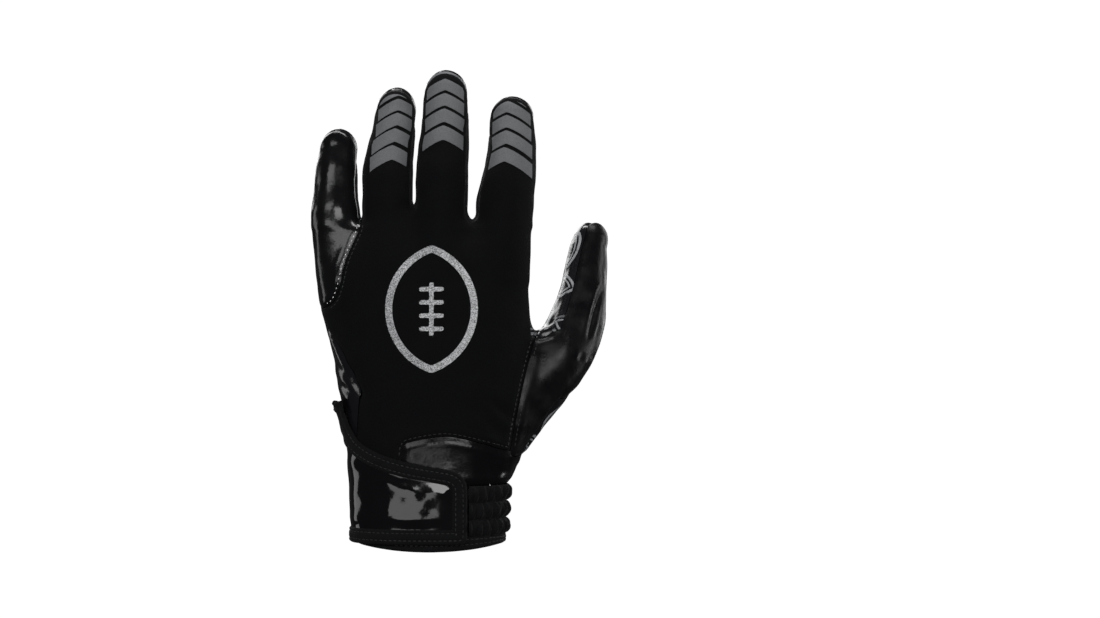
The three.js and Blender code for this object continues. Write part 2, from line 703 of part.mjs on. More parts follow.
// Outline of the closing strap in the view from the back, drawn in by an inset
function strapShape(inset) {
  const outer = -palmBreadth * 0.6;
  const rootEdge = -palmBreadth * 0.352;
  const [end, low, top] = [strapEnd - inset, strapBottom + inset, strapTop - inset];
  const corner = Math.max(strapEndCorner - inset, 1);
  const shape = new THREE.Shape();
  shape.moveTo(outer, low);
  shape.lineTo(end - strapLowCorner, low);
  shape.quadraticCurveTo(end, low, end, low + strapLowCorner);
  shape.lineTo(end, top - corner - strapEndRise);
  shape.quadraticCurveTo(end, top - strapEndRise - 1, end - corner, top - strapEndRise / 2);
  shape.lineTo(0, top);
  const rise = strapRootTop - strapTop;
  const swing = strapRootBreadth;
  const rootEnd = rootEdge - 0.55 * swing;
  shape.quadraticCurveTo(rootEdge + swing, top + 0.14 * rise, rootEdge + 0.18 * swing, top + 0.38 * rise);
  shape.quadraticCurveTo(rootEdge - 0.36 * swing, top + 0.7 * rise, rootEnd, strapRootTop - inset);
  shape.lineTo(outer, strapRootTop - inset);
  return shape;
}

// Closing strap: a gloss panel framed by a thicker matte binding
function addStrap() {
  const backOnly = prism(rectangle(-reach, reach, -reach, reach), -reach, strapWrap);
  const clearOfPalm = pieceGap;
  const bindingLayer = palmSolid(hemProud + clearOfPalm + strapThickness + strapBindingProud)
    .subtract(palmSolid(hemProud + clearOfPalm));
  const panelLayer = palmSolid(hemProud + clearOfPalm + strapThickness)
    .subtract(palmSolid(hemProud + clearOfPalm));
  const clearOfElastic = elasticRegion(0);
  const panelShape = prism(strapShape(strapBindingBreadth));
  const panelHole = prism(strapShape(strapBindingBreadth - pieceGap));
  const panel = panelLayer.intersect(panelShape).intersect(backOnly);
  const binding = bindingLayer.intersect(prism(strapShape(0))).subtract(panelHole).intersect(backOnly);
  addPiece("strap_panel", panel, glossColor, 0.15);
  addPiece("strap_binding", binding.subtract(clearOfElastic), knitColor, 0.9);
}

// Peaked bands printed across the backs of three fingers
function addBands() {
  for (const { finger, peak, firstUp, bands } of bandedFingers) {
    const digit = digits[finger];
    const film = digitSolid(digit, pieceGap + filmThickness).subtract(digitSolid(digit, pieceGap));
    let along = firstUp * digit.length;
    for (let band = 0; band < bands; band += 1) {
      const share = along / digit.length;
      const pitch = bandPitch - bandPitchShrink * band;
      const centre = digitCentre(digit, share);
      const half = bandSpread * digit.breadth * columnAt(digit.sections, "along", "breadth", share);
      const peakX = centre.x + peak * half;
      const fall = (x) => centre.z - bandSlope * Math.abs(x - peakX);
      const corners = [centre.x - half, peakX, centre.x + half];
      const top = [...corners].reverse().map((x) => [x, fall(x) + bandFill * pitch]);
      const outline = shapeOf([...corners.map((x) => [x, fall(x)]), ...top]);
      const region = prism(outline, -reach, centre.y);
      addPiece(`band_${finger}_${band + 1}`, film.intersect(region), printColor, 0.7);
      along += pitch;
    }
  }
}

// Pointed oval from two arcs
function pointedOval(height, breadth) {
  const [halfHeight, halfBreadth] = [height / 2, breadth / 2];
  const radius = (halfHeight ** 2 + halfBreadth ** 2) / (2 * halfBreadth);
  const spread = Math.asin(halfHeight / radius);
  const points = [];
  for (const sign of [1, -1]) {
    for (let i = 0; i < ovalSteps; i += 1) {
      const angle = -spread + (2 * spread * i) / ovalSteps;
      const across = radius * Math.cos(angle) - radius + halfBreadth;
      points.push([sign * across, sign * radius * Math.sin(angle)]);
    }
  }
  return points;
}

// Badge on the back of the hand: the outline of a ball and its laces
function addEmblem() {
  const film = handSolid(pieceGap + filmThickness).subtract(handSolid(pieceGap));
  const place = (points) => shapeOf(points.map(([x, z]) => [x + emblemAcross, z + emblemUp]));
  const outline = place(pointedOval(emblemHeight, emblemBreadth));
  const slope = Math.hypot(emblemHeight, emblemBreadth) / emblemBreadth;
  const innerHeight = emblemHeight - 2 * emblemLine * slope;
  const inner = place(pointedOval(innerHeight, emblemBreadth - 2 * emblemLine));
  const ring = prism(outline, -reach, 0).subtract(prism(inner));
  addPiece("emblem_outline", film.intersect(ring), printColor, 0.4);

  const bar = (up, breadth, height) => {
    const [x, z] = [emblemAcross, emblemUp + up];
    return prism(rectangle(x - breadth / 2, x + breadth / 2, z - height / 2, z + height / 2), -reach, 0);
  };
  let laces = bar(0, laceLine, laceLength);
  for (let i = 0; i < laceCount; i += 1) {
    laces = laces.add(bar((i / (laceCount - 1) - 0.5) * laceSpan, laceBreadth, laceLine));
  }
  addPiece("emblem_laces", film.intersect(laces), printColor, 0.4);
}

addPanels();
addHem();
addElastic();
addStrap();
addBands();
addEmblem();

export default glove;
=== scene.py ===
# Looks of a left-hand receiver glove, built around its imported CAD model.
# The mesh code works in millimetres and turns its results into metres as it makes each object.
import itertools
import math

import bpy
import numpy as np
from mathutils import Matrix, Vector
from mathutils.bvhtree import BVHTree


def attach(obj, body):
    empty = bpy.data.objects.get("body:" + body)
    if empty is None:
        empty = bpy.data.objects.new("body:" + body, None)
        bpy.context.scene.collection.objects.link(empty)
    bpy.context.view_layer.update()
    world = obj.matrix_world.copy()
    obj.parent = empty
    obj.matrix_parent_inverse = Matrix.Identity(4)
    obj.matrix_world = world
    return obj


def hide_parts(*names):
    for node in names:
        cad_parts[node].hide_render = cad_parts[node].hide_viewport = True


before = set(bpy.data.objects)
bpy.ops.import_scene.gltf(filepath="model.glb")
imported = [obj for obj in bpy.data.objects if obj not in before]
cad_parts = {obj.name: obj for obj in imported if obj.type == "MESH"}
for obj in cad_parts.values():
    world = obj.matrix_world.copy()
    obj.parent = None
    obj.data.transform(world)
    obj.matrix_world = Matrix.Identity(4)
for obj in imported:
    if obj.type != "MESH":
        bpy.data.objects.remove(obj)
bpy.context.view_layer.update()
MM = 0.001

# Sizes of the hand that fills the glove, as the CAD model has them
PALM_LENGTH = 150.0
PALM_BREADTH = 98.0
PALM_DEPTH = 40.0
CROWN_HEIGHT = 0.6
CROWN_PEAK = 5.5
CROWN_PEAK_REACH = 12.0
WALL = 1.3
SEAM_GAP = 0.3
HALF_GAP = SEAM_GAP / 2
CROWN_START = 4.0

PALM_COLUMNS = ("up", "left", "right", "back", "front", "power")
PALM_SECTIONS = [
    (-0.1, -0.352, 0.342, -0.5, 0.52, 2.2),
    (0.0, -0.352, 0.342, -0.5, 0.52, 2.2),
    (0.1, -0.352, 0.345, -0.5, 0.52, 2.2),
    (0.2, -0.357, 0.355, -0.49, 0.53, 2.2),
    (0.3, -0.37, 0.39, -0.47, 0.55, 2.3),
    (0.4, -0.405, 0.44, -0.45, 0.58, 2.3),
    (0.5, -0.438, 0.465, -0.44, 0.58, 2.4),
    (0.6, -0.465, 0.47, -0.43, 0.53, 2.4),
    (0.7, -0.497, 0.462, -0.415, 0.45, 2.4),
    (0.8, -0.522, 0.455, -0.395, 0.38, 2.4),
    (0.9, -0.53, 0.452, -0.345, 0.3, 2.3),
    (1.0, -0.49, 0.42, -0.215, 0.2, 2.2),
]

# Soft dents of the palm side (a swell is negative): shares of breadth, length and depth
DENT_COLUMNS = ("across", "up", "spread_across", "spread_up", "depth")
PALM_DENTS = [
    (0.02, 0.62, 0.2, 0.2, 0.11),
    (0.1, 0.36, 0.1, 0.16, 0.08),
    (0.33, 0.46, 0.17, 0.17, -0.09),
    (-0.3, 0.42, 0.16, 0.2, -0.05),
    (-0.1, 0.86, 0.5, 0.06, -0.03),
]

# Digits: length, breadth and depth in mm, root as shares of the palm, lean and curl as shares of the length
DIGIT_COLUMNS = ("along", "across", "bow", "breadth", "depth")
DIGITS = {
    "pinky": {
        "size": (83.0, 22.5, 20.0),
        "root": (-0.423, 0.05, 0.747),
        "lean": -0.03,
        "curl": 0.19,
        "sections": [
            (0.0, 0.0, 0.0, 0.75, 0.8),
            (0.25, -0.02, -0.04, 0.93, 0.95),
            (0.48, -0.07, -0.065, 1.0, 1.0),
            (0.6, -0.06, -0.06, 0.91, 0.95),
            (0.77, -0.03, -0.045, 0.82, 0.87),
            (0.88, -0.01, -0.025, 0.76, 0.8),
        ],
    },
    "ring": {
        "size": (89.0, 22.5, 21.0),
        "root": (-0.209, -0.02, 0.833),
        "lean": 0.041,
        "curl": 0.19,
        "sections": [
            (0.0, 0.0, 0.0, 0.9, 0.86),
            (0.22, -0.02, -0.04, 0.98, 0.96),
            (0.39, -0.04, -0.06, 1.0, 1.0),
            (0.56, -0.07, -0.062, 1.0, 0.98),
            (0.77, 0.01, -0.045, 0.86, 0.9),
            (0.88, 0.02, -0.025, 0.8, 0.82),
        ],
    },
    "middle": {
        "size": (97.0, 23.5, 22.0),
        "root": (0.047, -0.07, 0.833),
        "lean": 0.015,
        "curl": 0.185,
        "sections": [
            (0.0, 0.0, 0.0, 0.9, 0.86),
            (0.2, 0.0, -0.04, 0.98, 0.96),
            (0.36, -0.01, -0.06, 1.0, 1.0),
            (0.52, 0.0, -0.062, 1.0, 0.98),
            (0.71, 0.02, -0.05, 0.92, 0.91),
            (0.88, 0.02, -0.025, 0.85, 0.82),
        ],
    },
    "index": {
        "size": (85.0, 24.5, 21.5),
        "root": (0.343, -0.02, 0.833),
        "lean": 0.026,
        "curl": 0.2,
        "sections": [
            (0.0, -0.02, 0.0, 0.86, 0.86),
            (0.2, -0.02, -0.04, 0.98, 0.96),
            (0.41, -0.01, -0.06, 1.07, 1.0),
            (0.59, 0.05, -0.062, 0.98, 0.97),
            (0.72, 0.075, -0.052, 0.9, 0.9),
            (0.89, 0.06, -0.025, 0.82, 0.82),
        ],
    },
    "thumb": {
        "size": (123.0, 29.0, 31.0),
        "root": (0.286, 0.15, 0.28),
        "lean": 0.391,
        "curl": 0.244,
        "sections": [
            (0.0, 0.0, 0.0, 0.62, 0.72),
            (0.2, 0.2, -0.03, 0.8, 0.94),
            (0.42, 0.36, -0.048, 1.0, 1.0),
            (0.6, 0.4, -0.039, 0.9, 0.86),
            (0.74, 0.27, -0.019, 0.76, 0.72),
            (0.86, 0.12, -0.004, 0.68, 0.64),
            (0.92, 0.06, 0.0, 0.58, 0.58),
        ],
    },
}
FINGERS = ("pinky", "ring", "middle", "index")

# Grid for the hand's form
CELL = 1.0
GRID_LOW = np.array([-60.0, -28.0, -6.0])
GRID_HIGH = np.array([88.0, 48.0, 226.0])
FAR_OFF = 60.0
DIGIT_MARGIN = 14.0
ROOT_BLEND = 5.0
THUMB_BLEND = 12.0


def bell(distance, width):
    """A soft hump: 1 in its middle and nearly 0 at twice its width."""
    return np.exp(-((distance / width) ** 2))


def column_at(rows, columns, name, at):
    """Catmull-Rom value of one column of a table at a share of its first column."""
    table = np.array(rows, float)
    keys = table[:, 0]
    values = table[:, columns.index(name)]
    at = np.clip(np.asarray(at, float), keys[0], keys[-1])
    i = np.clip(np.searchsorted(keys, at, side="right") - 1, 0, len(keys) - 2)
    before = np.maximum(i - 1, 0)
    after = np.minimum(i + 2, len(keys) - 1)
    span = keys[i + 1] - keys[i]
    t = (at - keys[i]) / span
    start_slope = (values[i + 1] - values[before]) / (keys[i + 1] - keys[before]) * span
    end_slope = (values[after] - values[i]) / (keys[after] - keys[i]) * span
    return (
        (2 * t**3 - 3 * t**2 + 1) * values[i]
        + (t**3 - 2 * t**2 + t) * start_slope
        + (3 * t**2 - 2 * t**3) * values[i + 1]
        + (t**3 - t**2) * end_slope
    )


def digit_frame(digit):
    """Root, direction and side axes of a digit."""
    across, back, up = digit["root"]
    root = np.array([across * PALM_BREADTH, back * PALM_DEPTH, up * PALM_LENGTH])
    lean, curl = digit["lean"], digit["curl"]
    along = np.array([lean, curl, math.sqrt(1 - lean**2 - curl**2)])
    side = np.array([1.0, 0.0, 0.0]) - along * along[0]
    side /= np.linalg.norm(side)
    return root, along, side, np.cross(along, side)


def digit_column(digit, name, share):
    return column_at(digit["sections"], DIGIT_COLUMNS, name, share)


def half_breadth(digit, share):
    return digit_column(digit, "breadth", share) * digit["size"][1] / 2


def digit_centre(digit, share):
    """Middle of a digit at shares of its length."""
    root, along, side, inward = digit_frame(digit)
    length, breadth, _ = digit["size"]
    share = np.atleast_1d(share)[:, None]
    across = digit_column(digit, "across", share) * breadth
    bow = digit_column(digit, "bow", share) * length
    return root + along * share * length + side * across + inward * bow


def share_at_height(digit, z):
    root, along, _, _ = digit_frame(digit)
    return np.clip((z - root[2]) / (along[2] * digit["size"][0]), 0, 1)


def crown_at(x):
    """Height of the palm's crown over the finger roots."""
    peak_x = (digit_centre(DIGITS["ring"], 0.3)[0, 0] + digit_centre(DIGITS["middle"], 0.3)[0, 0]) / 2
    return CROWN_HEIGHT + CROWN_PEAK * bell(x - peak_x, CROWN_PEAK_REACH)


def dent_at(x, z):
    """How deep the palm side lies below its plain section."""
    total = np.zeros(np.broadcast(x, z).shape)
    for across, up, spread_across, spread_up, depth in PALM_DENTS:
        u = (x / PALM_BREADTH - across) / spread_across
        v = (z / PALM_LENGTH - up) / spread_up
        total += depth * PALM_DEPTH * bell(u, 1) * bell(v, 1)
    return total


def palm_section(z):
    """Centre, half sizes and power of the palm's section at a height."""
    up = z / PALM_LENGTH
    columns = [column_at(PALM_SECTIONS, PALM_COLUMNS, name, up) for name in PALM_COLUMNS[1:]]
    left, right, back, front, power = columns
    centre = ((left + right) / 2 * PALM_BREADTH, (back + front) / 2 * PALM_DEPTH)
    half = ((right - left) / 2 * PALM_BREADTH, (front - back) / 2 * PALM_DEPTH)
    return centre, half, power


def true_distance(r):
    """Turns a field that is 1 on a surface into a first-order distance from it, in mm."""
    gradient = np.gradient(r, CELL)
    steepness = np.sqrt(sum(g * g for g in gradient))
    return (r - 1) / np.maximum(steepness, 0.01)


def smooth_union(a, b, blend):
    h = np.clip(0.5 + 0.5 * (b - a) / blend, 0, 1)
    return b * (1 - h) + a * h - blend * h * (1 - h)


def palm_field(x, y, z):
    centre, half, power = palm_section(np.minimum(z, PALM_LENGTH))
    facing = np.clip((y - centre[1]) / half[1], 0, 1)
    u = np.abs(x - centre[0]) / half[0]
    v = np.abs(y + facing * dent_at(x, z) - centre[1]) / half[1]
    over = np.maximum(z - PALM_LENGTH + CROWN_START, 0) / (crown_at(x) + CROWN_START)
    return true_distance((u**power + v**power + over**2) ** (1 / power))


def digit_field(digit, points):
    root, along, side, inward = digit_frame(digit)
    length, breadth, depth = digit["size"]
    offset = points - root
    share = offset @ along / length
    last = digit["sections"][-1][0]
    held = np.clip(share, 0, last)
    u = offset @ side - digit_column(digit, "across", held) * breadth
    v = offset @ inward - digit_column(digit, "bow", held) * length
    u /= half_breadth(digit, held)
    v /= digit_column(digit, "depth", held) * depth / 2
    over = np.maximum(share - last, 0) / (1 - last)
    under = np.maximum(-share, 0) * length / (0.3 * breadth)
    return true_distance(np.sqrt(u * u + v * v + over * over + under * under))


def hand_field():
    """The hand as a grid of distances."""
    axes = [np.arange(low, high + CELL, CELL) for low, high in zip(GRID_LOW, GRID_HIGH)]
    palm = palm_field(*np.meshgrid(*axes, indexing="ij", sparse=True))
    fingers = np.full(palm.shape, FAR_OFF)
    thumb = fingers.copy()
    for name, digit in DIGITS.items():
        margin = DIGIT_MARGIN + (THUMB_BLEND if name == "thumb" else ROOT_BLEND)
        centres = digit_centre(digit, np.linspace(0, 1, 9))
        first = np.maximum((centres.min(0) - margin - GRID_LOW) / CELL, 0).astype(int)
        last = ((centres.max(0) + margin - GRID_LOW) / CELL).astype(int) + 2
        box = tuple(slice(*ends) for ends in zip(first, last))
        local = [axis[part] for axis, part in zip(axes, box)]
        points = np.stack(np.meshgrid(*local, indexing="ij"), -1)
        target = thumb if name == "thumb" else fingers
        target[box] = np.minimum(target[box], digit_field(digit, points))
    return smooth_union(smooth_union(palm, fingers, ROOT_BLEND), thumb, THUMB_BLEND)


def quads(a, b, c, d):
    """Two triangles for each row of four corners."""
    return np.concatenate([np.stack([a, b, c], 1), np.stack([a, c, d], 1)])


class Patch:
    """A triangle mesh in mm with named values on its vertices."""

    def __init__(self, verts, tris, data=None):
        self.verts = verts
        self.tris = tris
        self.data = data or {}

    def cut(self, *sides):
        """The part where each function of place is positive."""
        patch = self
        for side in sides:
            patch = patch.clip(side(patch.verts))
        return patch

    def clip(self, s):
        """The side where s is positive, cut cleanly along s = 0."""
        s = np.where(np.abs(s) < 1e-4, 1e-4, s)
        positive = s > 0
        sides = positive[self.tris]
        count = sides.sum(1)
        whole = self.tris[count == 3]
        mixed = self.tris[(count == 1) | (count == 2)]
        mixed_sides = positive[mixed]
        lone_is_kept = mixed_sides.sum(1) == 1
        lone = np.where(lone_is_kept, mixed_sides.argmax(1), (~mixed_sides).argmax(1))
        rows = np.arange(len(mixed))
        a, b, c = (mixed[rows, (lone + k) % 3] for k in range(3))
        edges = np.concatenate([np.stack([a, b], 1), np.stack([a, c], 1)])
        ordered = np.sort(edges, 1)
        unique, inverse = np.unique(ordered, axis=0, return_inverse=True)
        inverse = inverse.ravel()
        p, q = unique[:, 0], unique[:, 1]
        t = (s[p] / (s[p] - s[q]))[:, None]
        start = len(self.verts)
        verts = np.concatenate([self.verts, self.verts[p] * (1 - t) + self.verts[q] * t])
        data = {}
        for name, value in self.data.items():
            weight = t if value.ndim > 1 else t[:, 0]
            data[name] = np.concatenate([value, value[p] * (1 - weight) + value[q] * weight])
        ab, ac = start + inverse[: len(mixed)], start + inverse[len(mixed) :]
        tips = np.stack([a, ab, ac], 1)[lone_is_kept]
        other = ~lone_is_kept
        first = np.stack([ab, b, c], 1)[other]
        second = np.stack([ab, c, ac], 1)[other]
        return Patch(verts, np.concatenate([whole, tips, first, second]), data).compact()

    def compact(self):
        used, inverse = np.unique(self.tris, return_inverse=True)
        data = {name: value[used] for name, value in self.data.items()}
        return Patch(self.verts[used], inverse.reshape(-1, 3), data)

    def find_normals(self):
        a, b, c = (self.verts[self.tris[:, k]] for k in range(3))
        face = np.cross(b - a, c - a)
        out = np.zeros_like(self.verts)
        for k in range(3):
            np.add.at(out, self.tris[:, k], face)
        self.data["normal"] = out / np.maximum(np.linalg.norm(out, axis=1, keepdims=True), 1e-9)

    def push(self, distance):
        """Moves the vertices along their normals."""
        self.verts = self.verts + self.data["normal"] * np.reshape(distance, (-1, 1))

    def edges(self):
        return np.concatenate([self.tris[:, [0, 1]], self.tris[:, [1, 2]], self.tris[:, [2, 0]]])

    def rim(self):
        """Directed edges that only one triangle uses."""
        edges = self.edges()
        key = np.sort(edges, 1)
        _, inverse, counts = np.unique(key, axis=0, return_inverse=True, return_counts=True)
        return edges[counts[inverse.ravel()] == 1]

    def thicken(self, wall):
        """A closed wall that lies inward of this surface."""
        n = len(self.verts)
        a, b = self.rim().T
        verts = np.concatenate([self.verts, self.verts - self.data["normal"] * wall])
        data = {name: np.concatenate([value, value]) for name, value in self.data.items()}
        sides = quads(b, a, a + n, b + n)
        return Patch(verts, np.concatenate([self.tris, self.tris[:, ::-1] + n, sides]), data)


def surface_nets(field):
    """Triangles of the zero surface of a grid, with one vertex in each cell that it crosses."""
    inside = field < 0
    shape = tuple(n - 1 for n in field.shape)
    total = np.zeros(shape + (3,), np.float32)
    count = np.zeros(shape, np.float32)
    crossings = []
    for axis in range(3):
        low = [slice(None)] * 3
        high = [slice(None)] * 3
        low[axis] = slice(None, -1)
        high[axis] = slice(1, None)
        crossing = inside[tuple(low)] != inside[tuple(high)]
        where = np.argwhere(crossing)
        value_low = field[tuple(low)][crossing]
        value_high = field[tuple(high)][crossing]
        points = where.astype(np.float32)
        points[:, axis] += value_low / (value_low - value_high)
        others = [k for k in range(3) if k != axis]
        corners = []
        for da, db in ((0, 0), (-1, 0), (-1, -1), (0, -1)):
            cell = where.copy()
            cell[:, others[0]] += da
            cell[:, others[1]] += db
            corners.append(cell)
        valid = np.all([((c >= 0) & (c < shape)).all(1) for c in corners], axis=0)
        for cell in corners:
            kept = tuple(cell[valid].T)
            np.add.at(total, kept, points[valid])
            np.add.at(count, kept, 1)
        falling = value_low[valid] < 0
        flipped = falling if axis != 1 else ~falling
        crossings.append(([c[valid] for c in corners], flipped))
    index = np.full(shape, -1)
    filled = count > 0
    index[filled] = np.arange(filled.sum())
    verts = total[filled] / count[filled][:, None] * CELL + GRID_LOW
    tris = []
    for corners, flipped in crossings:
        quad = np.stack([index[tuple(c.T)] for c in corners], 1)
        quad[~flipped] = quad[~flipped][:, ::-1]
        tris.append(quads(*quad.T))
    return Patch(verts.astype(float), np.concatenate(tris))


def sample(grid, points):
    """Trilinear value of a grid at points in mm."""
    place = (points - GRID_LOW) / CELL
    base = np.clip(np.floor(place).astype(int), 0, np.array(grid.shape[:3]) - 2)
    t = place - base
    out = 0
    for corner in itertools.product((0, 1), repeat=3):
        weight = np.prod(np.where(corner, t, 1 - t), axis=1)
        value = grid[tuple((base + corner).T)]
        out = out + (weight[:, None] * value if value.ndim > 1 else weight * value)
    return out


def hand_surface():
    """The smooth outer surface of the hand, its vertices drawn onto the form, with its normals."""
    field = hand_field()
    gradient = np.stack(np.gradient(field, CELL), -1)
    patch = surface_nets(field)
    edges = patch.edges()
    for _ in range(3):
        total = np.zeros_like(patch.verts)
        count = np.zeros(len(patch.verts))
        np.add.at(total, edges[:, 0], patch.verts[edges[:, 1]])
        np.add.at(count, edges[:, 0], 1)
        patch.verts = 0.5 * patch.verts + 0.5 * total / np.maximum(count, 1)[:, None]
        slope = sample(gradient, patch.verts)
        square = np.maximum((slope * slope).sum(1), 0.05)
        patch.verts -= slope * (sample(field, patch.verts) / square)[:, None]
    slope = sample(gradient, patch.verts)
    patch.data["normal"] = slope / np.linalg.norm(slope, axis=1, keepdims=True)
    return patch


def smooth_path(points, steps=8):
    """Catmull-Rom curve through given points."""
    points = np.array(points, float)
    keys = np.arange(len(points), dtype=float)
    at = np.linspace(0, len(points) - 1, (len(points) - 1) * steps + 1)
    columns = ("key",) + tuple(range(points.shape[1]))
    rows = np.concatenate([keys[:, None], points], 1)
    return np.stack([column_at(rows, columns, k, at) for k in range(points.shape[1])], 1)


def nearest_on_path(path, x, z):
    """Distance from a path in the view from the back, which side of it, and the share of its length."""
    best = np.full(x.shape, 1e6)
    sign = np.ones(x.shape)
    share = np.zeros(x.shape)
    count = len(path) - 1
    for i, ((ax, az), (bx, bz)) in enumerate(zip(path[:-1], path[1:])):
        dx, dz = bx - ax, bz - az
        t = np.clip(((x - ax) * dx + (z - az) * dz) / (dx * dx + dz * dz), 0, 1)
        distance = np.hypot(x - ax - t * dx, z - az - t * dz)
        side = np.where(dz * (x - ax) - dx * (z - az) > 0, 1.0, -1.0)
        nearer = distance < best - 1e-9
        best = np.where(nearer, distance, best)
        sign = np.where(nearer, side, sign)
        share = np.where(nearer, (i + t) / count, share)
    return best, sign, share


def signed_distance(path, x, z):
    """Distance from a path, positive on the right of its direction of travel."""
    distance, sign, _ = nearest_on_path(path, x, z)
    return distance * sign


def step_up(value, low, high):
    t = np.clip((value - low) / (high - low), 0, 1)
    return t * t * (3 - 2 * t)


def waves(points, scale, count, seed):
    """Smooth noise from a few plane waves, about -1 to 1."""
    rng = np.random.default_rng(seed)
    total = np.zeros(len(points))
    for _ in range(count):
        direction = rng.normal(size=3)
        direction *= rng.uniform(0.6, 1.5) / np.linalg.norm(direction)
        total += np.sin(points @ direction * (2 * math.pi / scale) + rng.uniform(0, 2 * math.pi))
    return total / math.sqrt(count)


# Folds of the leather and knit: side (-1 is the back, 1 the palm side), width, depth and path in mm
FOLDS = [
    (-1, 1.1, 0.9, [(79.5, 121), (76.6, 113), (74.2, 105), (72.2, 96)]),
    (-1, 1.3, 0.6, [(70.5, 90), (68.0, 86)]),
    (-1, 1.2, 0.5, [(-36.0, 79), (-33.1, 75), (-30.4, 69)]),
    (-1, 2.0, 0.9, [(-49, 93), (-43.0, 84), (-36.5, 79)]),
    (-1, 1.8, 0.8, [(-48, 84), (-42.0, 76), (-36.5, 71)]),
    (-1, 1.6, 0.7, [(-46, 75), (-41.0, 69), (-37.5, 62)]),
    (-1, 1.6, 0.7, [(47, 108), (52, 103), (57, 104)]),
    (-1, 1.4, 0.6, [(44, 100), (50, 97), (57, 98)]),
    (-1, 2.2, 0.5, [(20, 66), (27, 60), (33, 52)]),
    (-1, 2.0, 0.5, [(26, 70), (34, 63), (41, 58)]),
    (1, 1.5, 1.1, [(44, 121), (26, 115), (14, 100), (9, 80), (10, 62)]),
    (1, 1.3, 0.9, [(36, 108), (24, 98), (18, 84), (17, 70)]),
    (1, 1.4, 0.9, [(-49, 124), (-30, 118), (-8, 118), (12, 126)]),
    (1, 1.3, 0.7, [(-38, 110), (-18, 104), (4, 107), (22, 116)]),
    (1, 1.8, 0.8, [(-26, 62), (-10, 54), (10, 52), (26, 58)]),
    (1, 1.5, 0.7, [(-34, 46), (-12, 42), (12, 43), (30, 48)]),
    (1, 1.4, 0.8, [(46, 74), (55, 80), (66, 84)]),
    (1, 1.3, 0.8, [(50, 88), (60, 94), (70, 98)]),
    (1, 1.2, 0.7, [(61, 122), (68, 124), (76, 123)]),
    (1, 1.4, 0.7, [(-45, 60), (-36, 66), (-28, 76)]),
]
# Creases across the fingers' palm side, as shares of a finger, and their size in mm
CREASE_SHARES = (0.28, 0.56, 0.8)
CREASE_DEPTH = 0.7
CREASE_WIDTH = 1.2

# Swells over each finger's knuckle and joint: share of the finger, rise, lift, half breadth, half height
FINGER_SWELLS = [(0.1, 0.9, 4, 8, 10), (0.52, 0.5, 0, 9, 6)]


def fold_depth(points, normals):
    """How far each point moves along its normal for the folds, finger creases and swells."""
    x, _, z = points.T
    total = np.zeros(len(points))
    for side, width, depth, path in FOLDS:
        facing = step_up(normals[:, 1] * side, -0.25, 0.35)
        distance, _, share = nearest_on_path(smooth_path(path), x, z)
        fading = np.sqrt(np.clip(np.sin(math.pi * share), 0, 1))
        lip = 0.45 * bell(distance - 2.3 * width, 1.4 * width)
        total += depth * facing * fading * (lip - bell(distance, width))
    palmar = step_up(normals[:, 1], -0.1, 0.5)
    dorsal = step_up(-normals[:, 1], 0.2, 0.8)
    for digit in (DIGITS[name] for name in FINGERS):
        half = digit["size"][1] * 0.55
        for share in CREASE_SHARES:
            centre = digit_centre(digit, share)[0]
            across = palmar * np.exp(-(((x - centre[0]) / half) ** 4))
            up = z - centre[2] - 0.02 * (x - centre[0]) ** 2
            ridges = bell(np.abs(up) - 5, 3.5) / 2
            total += CREASE_DEPTH * across * (ridges - bell(up, CREASE_WIDTH))
        for share, rise, lift, breadth, height in FINGER_SWELLS:
            centre = digit_centre(digit, share)[0]
            total += rise * dorsal * bell(x - centre[0], breadth) * bell(z - centre[2] - lift, height)
    return total


# Seams in the view from the back: shares of PALM_BREADTH and PALM_LENGTH, as the CAD model has them
FAR = 4.0
THUMB_SEAM = [
    (0.56, FAR), (0.56, 0.9), (0.55, 0.78), (0.52, 0.7), (0.47, 0.6), (0.42, 0.46), (0.38, 0.32),
    (0.385, 0.285), (0.45, 0.285), (FAR, 0.285),
]
PINKY_SEAM = [
    (-0.327, FAR), (-0.327, 1.05), (-0.33, 0.98), (-0.36, 0.93), (-0.395, 0.87), (-0.425, 0.79),
    (-0.47, 0.745), (-0.6, 0.725), (-FAR, 0.72),
]
OUTER_EDGE_COLUMNS = ("up", "depth")
OUTER_EDGE_SEAM = [
    (0.0, -0.2), (0.3, -0.2), (0.43, -0.27), (0.5, -0.3), (0.6, -0.24), (0.68, -0.06), (0.76, 0.06),
    (0.9, 0.16), (1.0, 0.1),
]
HEM_HEIGHT = 7.0
HEM_RISE = 5.0
HEM_HALF = 42.3
HEM_PROUD = 0.9
SEAM_DROP = 1.0
FOURCHETTE_BREADTH = 7.0
FOURCHETTE_END = 0.86
FOURCHETTE_TAPER = 0.15
TIP_WRAP = 0.25
FINGER_SEAM_START = 0.9
FINGER_SEAM_BLEND = 0.08
ELASTIC_TOP = 30.0
ELASTIC_LEFT = 18.0
ELASTIC_PALM_LEFT = 27.0
PATCH_EDGE = [
    (-12.4, -200), (-12.4, 0), (-12.4, 42), (-11.6, 47.8), (-8, 50), (8, 52.3), (24, 49), (36, 45.5),
    (60, 44), (200, 44),
]


def shares_to_mm(rows):
    return [(across * PALM_BREADTH, up * PALM_LENGTH) for across, up in rows]


def corner_path(points):
    """A seam's path, smooth between its far ends."""
    points = np.array(points, float)
    return np.concatenate([points[:1], smooth_path(points[1:-1]), points[-1:]])


def finger_edge(name, z, sign):
    digit = DIGITS[name]
    share = share_at_height(digit, z)
    return digit_centre(digit, share)[:, 0] + sign * half_breadth(digit, share)


